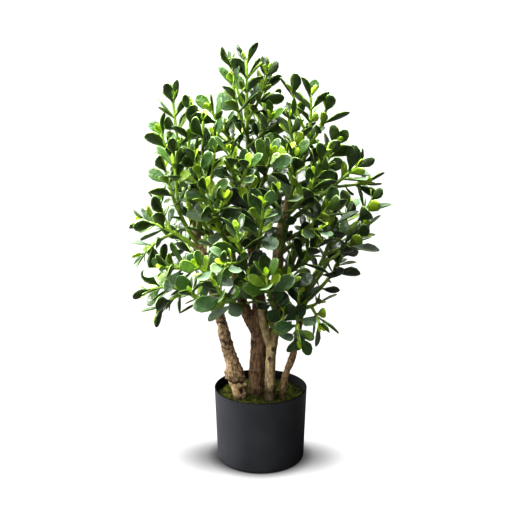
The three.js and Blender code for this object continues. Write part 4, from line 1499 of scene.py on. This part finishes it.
def leaf_shape(name, rings, cup, sway):
    """A closed leaf along +X with its face up. cup lifts its edges, and sway bends its middle sideways."""
    points, along, across, upper = [(0, 0, -HEEL_DROP)], [0], [0], [0.5]
    for a, width, thick in rings:
        half = width * LEAF_HALF_WIDTH
        for b, height, face in LEAF_SECTION:
            y = b * half + sway * math.sin(a * math.pi)
            points.append((a * LEAF_LENGTH, y, height * thick + cup * (b * width) ** 2))
            along.append(a)
            across.append(abs(b))
            upper.append(face)
    points.append((LEAF_LENGTH, 0, -POINT_DROP))
    along.append(1)
    across.append(1)
    upper.append(0.5)
    faces = faces_to_ends(len(rings), len(LEAF_SECTION))
    return new_piece(name, points, faces, {"along": along, "across": across, "upper": upper})


leaf_shapes = bpy.data.collections.new("leaf_shapes")
bpy.context.scene.collection.children.link(leaf_shapes)
for name, settings in LEAF_SHAPES.items():
    shape = leaf_shape(name, *settings)
    bpy.context.scene.collection.objects.unlink(shape)
    leaf_shapes.objects.link(shape)

# %% [markdown]
# ## Leaf and stem colours
#
# A jade leaf is deep green with a paler margin and heel, a dull olive back, and a waxy gloss. Its face
# has pale pores and, where it looks up, a pale grey sheen of the lamp painted on. Some leaves are
# yellower than others, those inside the crown are painted dark with shade, and young ones are
# yellow-green. The colours are laid one over another as coats, by the numbers kept with the points, so
# they stay with the leaf wherever that stands.

# %% Leaf colours
LEAF_DARK = colour(16, 38, 12)
LEAF_LIGHT = colour(64, 102, 44)
LEAF_WARM = colour(78, 110, 24)
LEAF_SHADED = colour(18, 36, 7)
LEAF_MARGIN = colour(156, 196, 58)
LEAF_HEEL = colour(128, 158, 74)
LEAF_BACK = colour(44, 52, 22)
# Pale grey, both the pores' own colour and a painted sheen where a face looks up to the lamp.
LEAF_PORES_AND_SHEEN = colour(156, 172, 156)
LEAF_YOUNG = colour(168, 200, 44)
# How far up a face has to look for the painted sheen to start and to be full, and how thick it gets.
SHEEN_STARTS = 0.56
SHEEN_FULL = 0.9
SHEEN_THICKNESS = 0.6
# How many pores there are to a metre, and how far from a pore's middle it starts and is full.
PORE_SCALE = 560.0
PORE_EDGE = 0.34
PORE_CORE = 0.16


def painted_sheen_on(tree, tint):
    """A painted sheen on what looks up, as if the lamp overhead shone there. Leaves differ in how much of
    it they have, by their tint.
    """
    facing = put(tree, "ShaderNodeSeparateXYZ", {0: put(tree, "ShaderNodeNewGeometry").outputs["Normal"]})
    upward = ramp_between(tree, facing.outputs["Z"], SHEEN_STARTS, SHEEN_FULL)
    share = arithmetic(tree, "ADD", times(tree, tint, 0.7), 0.3)
    return times(tree, times(tree, upward, SHEEN_THICKNESS), share)


def pores_on(tree, place, upper):
    """Pale dots on the face alone."""
    cells = put(tree, "ShaderNodeTexVoronoi", {"Vector": place, "Scale": PORE_SCALE})
    dots = ramp_between(tree, cells.outputs["Distance"], PORE_EDGE, PORE_CORE)
    return times(tree, times(tree, dots, 0.3), ramp_between(tree, upper, 0.5, 0.9))


print("leaf colours ready")

# %% Leaf material
leaf_wax, tree, shader, place = painted("jade_leaf", Specular_IOR_Level=0.4, Coat_Weight=0.4,
                                        Coat_Roughness=0.2)
along, across, upper = (point_number(tree, name) for name in ("along", "across", "upper"))
tint, warm, fresh, shade = (point_number(tree, name) for name in ("tint", "warm", "fresh", "shade"))
leaf_green = mottled(tree, place, scale=110.0, detail=4.0, contrast=2.0, dark=LEAF_DARK, light=LEAF_LIGHT)
leaf_tone = coats_over(tree, leaf_green["Color"], [
    (times(tree, tint, 0.5), LEAF_LIGHT),
    (times(tree, ramp_between(tree, warm, 0.5, 1.0), 0.7), LEAF_WARM),
    (times(tree, ramp_between(tree, upper, 0.45, 0.05), 0.75), LEAF_BACK),
    # A painted sheen on faces that look up.
    (painted_sheen_on(tree, tint), LEAF_PORES_AND_SHEEN),
    (pores_on(tree, place, upper), LEAF_PORES_AND_SHEEN),
    (times(tree, shade, 0.85), LEAF_SHADED),
    (fresh, LEAF_YOUNG),
    (times(tree, ramp_between(tree, across, 0.86, 1.0), 0.75), LEAF_MARGIN),
    (times(tree, ramp_between(tree, along, 0.22, 0.0), 0.7), LEAF_HEEL),
])
connect(shader, Base_Color=leaf_tone, Roughness=gloss_between(tree, leaf_green["Mask"], 0.32, 0.46),
        Normal=grained(tree, place, scale=130.0, detail=4.0, height=0.0022))
print("leaf material", leaf_wax.name)

# %% Stem material
STEM_GREEN = colour(136, 178, 46)
STEM_LIGHT = colour(190, 216, 88)
STEM_SHADED = colour(62, 80, 22)
STEM_BARK = colour(112, 96, 58)

stem_skin, tree, shader, place = painted("green_stem", Roughness=0.45, Specular_IOR_Level=0.5)
stem_green = mottled(tree, place, scale=170.0, detail=4.0, contrast=2.6, dark=STEM_GREEN, light=STEM_LIGHT)
stem_tone = coats_over(tree, stem_green["Color"], [
    (times(tree, point_number(tree, "shade"), 0.8), STEM_SHADED),
    (ramp_between(tree, point_number(tree, "age"), 0.72, 1.05), STEM_BARK),
])
connect(shader, Base_Color=stem_tone, Normal=grained(tree, place, scale=500.0, detail=3.0, height=0.0006))
print("stem material", stem_skin.name)

# %% [markdown]
# ## Leaves on their stems
#
# Each spray starts as loose points, one for each leaf, that carry the leaf's direction, size and kind.
# The tree puts a leaf shape on every point, bends it along its length, paints it and joins it with the
# stems.

# %% Foliage tree


def foliage_tree():
    tree, inside, outside = growing_tree("leaves_on_stems", [
        ("Shapes", "NodeSocketCollection", None), ("Stems", "NodeSocketObject", None),
        ("Finish", "NodeSocketMaterial", None),
    ])
    turn = put(tree, "FunctionNodeAxesToRotation", {
        "Primary Axis": named(tree, "face_up", "FLOAT_VECTOR"),
        "Secondary Axis": named(tree, "heading", "FLOAT_VECTOR"),
    }, primary_axis="Z", secondary_axis="X")
    shapes = put(tree, "GeometryNodeCollectionInfo", {
        "Collection": inside.outputs["Shapes"], "Separate Children": True, "Reset Children": True,
    })
    placed = put(tree, "GeometryNodeInstanceOnPoints", {
        "Points": inside.outputs["Geometry"], "Instance": shapes.outputs["Instances"],
        "Pick Instance": True, "Instance Index": named(tree, "kind", "INT"),
        "Rotation": turn.outputs[0], "Scale": named(tree, "size"),
    })
    solid = put(tree, "GeometryNodeRealizeInstances", {"Geometry": placed.outputs[0]})
    along_squared = arithmetic(tree, "POWER", named(tree, "along"), 2.0)
    lift = put(tree, "ShaderNodeVectorMath", {
        0: named(tree, "lift", "FLOAT_VECTOR"), "Scale": along_squared,
    }, operation="SCALE")
    bent = put(tree, "GeometryNodeSetPosition", {"Geometry": solid.outputs[0], "Offset": lift.outputs[0]})
    waxed = put(tree, "GeometryNodeSetMaterial", {
        "Geometry": bent.outputs[0], "Material": inside.outputs["Finish"],
    })
    stems = put(tree, "GeometryNodeObjectInfo", {"Object": inside.outputs["Stems"]})
    joined = put(tree, "GeometryNodeJoinGeometry")
    tree.links.new(waxed.outputs[0], joined.inputs[0])
    tree.links.new(stems.outputs["Geometry"], joined.inputs[0])
    tree.links.new(joined.outputs[0], outside.inputs[0])
    return tree


FOLIAGE_TREE = foliage_tree()
print("foliage tree", len(FOLIAGE_TREE.nodes), "nodes")

# %% Grow each spray


def leaf_points(spray):
    """One loose point for each leaf, with its directions, size, kind and tints."""
    leaves = spray["leaves"]
    roots = [leaf["shoot"].smooth_point(leaf["t"]) for leaf in leaves]
    middles = [leaf["base"] + leaf["along"] * leaf["length"] / 2 for leaf in leaves]
    numbers = {
        "heading": ("FLOAT_VECTOR", [leaf["along"] for leaf in leaves]),
        "face_up": ("FLOAT_VECTOR", [leaf["up"] for leaf in leaves]),
        "lift": ("FLOAT_VECTOR", [leaf["up"] * leaf["curl"] * leaf["length"] * MM for leaf in leaves]),
        "kind": ("INT", [leaf.get("kind", int(chance.integers(BROAD_KINDS))) for leaf in leaves]),
        "size": ("FLOAT", [leaf["size"] for leaf in leaves]),
        "tint": ("FLOAT", chance.random(len(leaves))),
        "warm": ("FLOAT", chance.random(len(leaves))),
        "fresh": ("FLOAT", [leaf.get("fresh", 0.0) for leaf in leaves]),
        "shade": ("FLOAT", [crown_shade(middle) for middle in middles]),
    }
    points = new_piece(spray["name"] + "_foliage", roots, [])
    for name, (kind, values) in numbers.items():
        keep_numbers(points.data, name, values, kind)
    return points


def grow_spray(spray):
    stems = spray_stems(spray)
    stems.data.materials.append(stem_skin)
    foliage = leaf_points(spray)
    grow(foliage, FOLIAGE_TREE, {"Shapes": leaf_shapes, "Stems": stems, "Finish": leaf_wax})
    bpy.data.objects.remove(stems)
    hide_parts(spray["name"])
    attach(foliage, "root")
    return foliage


foliages = [grow_spray(spray) for spray in sprays]
for shape in list(leaf_shapes.objects):
    bpy.data.objects.remove(shape)
bpy.data.collections.remove(leaf_shapes)
print("foliage faces", sum(len(foliage.data.polygons) for foliage in foliages))

# %% [markdown]
# ## Moss
#
# The soil is hidden by a cushion of moss that ends about 13 mm below the rim. Moss is thousands of tiny
# stars of pointed leaves. A bumpy bed carries some eighteen hundred small tufts, each a star of seven
# thin spikes, scattered by the tree with no two too close.

# %% Moss bed
SOIL_TOP = 97
MOSS_GAP = 0.3
# Heights of the bed at the pot's wall and in the middle, and how high its cushions are.
MOSS_EDGE = 105
MOSS_CROWN = 107
MOSS_BUMP = 1.4
# How high the finer lumps are, and how far the bed lies below the solid's, as the tufts stand on it.
MOSS_LUMP = 1.1
MOSS_SUNK = 1.0
# At the wall the bed turns down: from this share of its radius, over this share of it, and so far.
MOSS_ROUND_FROM = 0.93
MOSS_ROUND_SHARE = 0.07
MOSS_ROUND_DROP = 2.5
BED_RINGS = 26
BED_STEPS = 96
moss_radius = body_radius(SOIL_TOP) - POT_WALL - MOSS_GAP


def moss_height(x, y):
    """The cushions of the solid, with finer lumps on them."""
    share = math.hypot(x, y) / moss_radius
    base = MOSS_CROWN + (MOSS_EDGE - MOSS_CROWN) * share * share
    swell = math.sin(x * 0.21 + 1) * math.cos(y * 0.19) + 0.5 * math.sin(x * 0.11 - y * 0.31)
    lumps = noise.noise(Vector((x / 9, y / 9, 3.0))) + 0.6 * noise.noise(Vector((x / 4, y / 4, 7.0)))
    rounded = MOSS_ROUND_DROP * max(0, share - MOSS_ROUND_FROM) / MOSS_ROUND_SHARE
    return base + MOSS_BUMP * swell + MOSS_LUMP * lumps - rounded - MOSS_SUNK


bed_profile = [(0, SOIL_TOP + MOSS_GAP), (moss_radius, SOIL_TOP + MOSS_GAP)]
bed_profile += [(moss_radius * share, MOSS_EDGE) for share in np.linspace(1, 1 / BED_RINGS, BED_RINGS)]
bed_profile += [(0, MOSS_CROWN)]
bed_points, bed_faces = turned(bed_profile, BED_STEPS)
on_top = [z > SOIL_TOP + 1 for x, y, z in bed_points]
bed_points = [(x, y, moss_height(x, y) if top else z) for (x, y, z), top in zip(bed_points, on_top)]
moss = new_piece("moss_cushion", bed_points, bed_faces, {"top": on_top})
print("moss radius", round(moss_radius, 1), "mm")

# %% Moss tuft
SPIKES = 7
SPIKE_LENGTH = 3.6
SPIKE_WIDTH = 0.5
SPIKE_SUNK = 0.4
# How far the outer spikes lean, in radians, and how much they differ. The last spike stands upright.
SPIKE_LEAN = 0.75
LEAN_CHANGE = 0.2
# The three corners of a spike's foot, in radians round it, and the faces of a spike.
SPIKE_CORNERS = (0, 2.09, 4.19)
SPIKE_FACES = [(2, 1, 0), (0, 1, 3), (1, 2, 3), (2, 0, 3)]


def moss_tuft():
    """A star of thin three-sided spikes, with each point's share of the way to the tip."""
    parts = []
    for k in range(SPIKES):
        turn = 2 * math.pi * k / (SPIKES - 1)
        lean = 0.0 if k == SPIKES - 1 else SPIKE_LEAN + LEAN_CHANGE * math.sin(3 * k)
        tip = np.array((math.sin(lean) * math.cos(turn), math.sin(lean) * math.sin(turn), math.cos(lean)))
        side = unit(np.cross(tip, (0.3, 0.2, 1)))
        front = np.cross(tip, side)
        corners = [SPIKE_WIDTH * (side * math.cos(a) + front * math.sin(a)) - SPIKE_SUNK * tip
                   for a in SPIKE_CORNERS]
        parts.append((corners + [tip * SPIKE_LENGTH], SPIKE_FACES))
    return new_piece("moss_tuft", *merge(parts), {"rise": [0, 0, 0, 1] * SPIKES})


tuft = moss_tuft()
print("tuft faces", len(tuft.data.polygons))

# %% Moss material
# Each tuft has its own tint from 0 to 1: some are bright and some brown.
MOSS_DARK = colour(22, 22, 9)
MOSS_LIGHT = colour(66, 72, 26)
MOSS_BROWN = colour(62, 46, 28)
MOSS_BRIGHT = colour(110, 122, 38)
MOSS_TIP = colour(96, 100, 44)

moss_paint, tree, shader, place = painted("moss_green", Roughness=0.9, Specular_IOR_Level=0.25)
patches = mottled(tree, place, scale=45.0, detail=4.0, contrast=3.0, dark=MOSS_DARK, light=MOSS_LIGHT)
tint = point_number(tree, "tint")
moss_tone = coats_over(tree, patches["Color"], [
    (ramp_between(tree, tint, 0.74, 0.8), MOSS_BROWN),
    (ramp_between(tree, tint, 0.16, 0.1), MOSS_BRIGHT),
    (times(tree, point_number(tree, "rise"), 0.35), MOSS_TIP),
])
connect(shader, Base_Color=moss_tone, Normal=grained(tree, place, scale=500.0, detail=6.0, height=0.0015))
print("moss material", moss_paint.name)

# %% Scatter the tufts
# The fixed seeds of the places, tints, turns and sizes of the tufts.
PLACE_SEED, TINT_SEED, TURN_SEED, SIZE_SEED = 5, 11, 12, 13
TUFTS_MOST = 400000.0
TUFT_LEAN = 0.45
TUFT_TURN = 6.28


def moss_tree():
    tree, inside, outside = growing_tree("tufts_on_moss", [
        ("Tuft", "NodeSocketObject", None), ("Spacing", "NodeSocketFloat", 0.0023),
        ("Smallest", "NodeSocketFloat", 0.55), ("Largest", "NodeSocketFloat", 1.3),
        ("Finish", "NodeSocketMaterial", None),
    ])
    spread = put(tree, "GeometryNodeDistributePointsOnFaces", {
        "Mesh": inside.outputs["Geometry"], "Selection": named(tree, "top"),
        "Distance Min": inside.outputs["Spacing"], "Density Max": TUFTS_MOST, "Seed": PLACE_SEED,
    }, distribute_method="POISSON")
    tints = put(tree, "FunctionNodeRandomValue", {8: TINT_SEED}, data_type="FLOAT")
    tinted = put(tree, "GeometryNodeStoreNamedAttribute", {
        "Geometry": spread.outputs["Points"], "Name": "tint", "Value": tints.outputs[1],
    }, data_type="FLOAT", domain="POINT")
    angles = put(tree, "FunctionNodeRandomValue", {
        0: (-TUFT_LEAN, -TUFT_LEAN, 0.0), 1: (TUFT_LEAN, TUFT_LEAN, TUFT_TURN), 8: TURN_SEED,
    }, data_type="FLOAT_VECTOR")
    turn = put(tree, "FunctionNodeEulerToRotation", {0: angles.outputs[0]})
    sizes = put(tree, "FunctionNodeRandomValue", {
        2: inside.outputs["Smallest"], 3: inside.outputs["Largest"], 8: SIZE_SEED,
    }, data_type="FLOAT")
    star = put(tree, "GeometryNodeObjectInfo", {"Object": inside.outputs["Tuft"]})
    placed = put(tree, "GeometryNodeInstanceOnPoints", {
        "Points": tinted.outputs[0], "Instance": star.outputs["Geometry"], "Rotation": turn.outputs[0],
        "Scale": sizes.outputs[1],
    })
    joined = put(tree, "GeometryNodeJoinGeometry")
    tree.links.new(placed.outputs[0], joined.inputs[0])
    tree.links.new(inside.outputs["Geometry"], joined.inputs[0])
    solid = put(tree, "GeometryNodeRealizeInstances", {"Geometry": joined.outputs[0]})
    mossed = put(tree, "GeometryNodeSetMaterial", {
        "Geometry": solid.outputs[0], "Material": inside.outputs["Finish"],
    })
    tree.links.new(mossed.outputs[0], outside.inputs[0])
    return tree


MOSS_TREE = moss_tree()
grow(moss, MOSS_TREE, {"Tuft": tuft, "Finish": moss_paint})
bpy.data.objects.remove(tuft)
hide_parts("moss")
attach(moss, "root")
print("moss faces", len(moss.data.polygons))

# %% [markdown]
# ## Sizes
#
# The box of the dressed plant is kept beside the solids' box, for comparing. The dressed plant has to
# stay within the solids' box, give or take a little.

# %% Finish
VISUAL_BOX = [list(corner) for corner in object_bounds()]
print("visual box", [[round(x, 3) for x in corner] for corner in VISUAL_BOX])
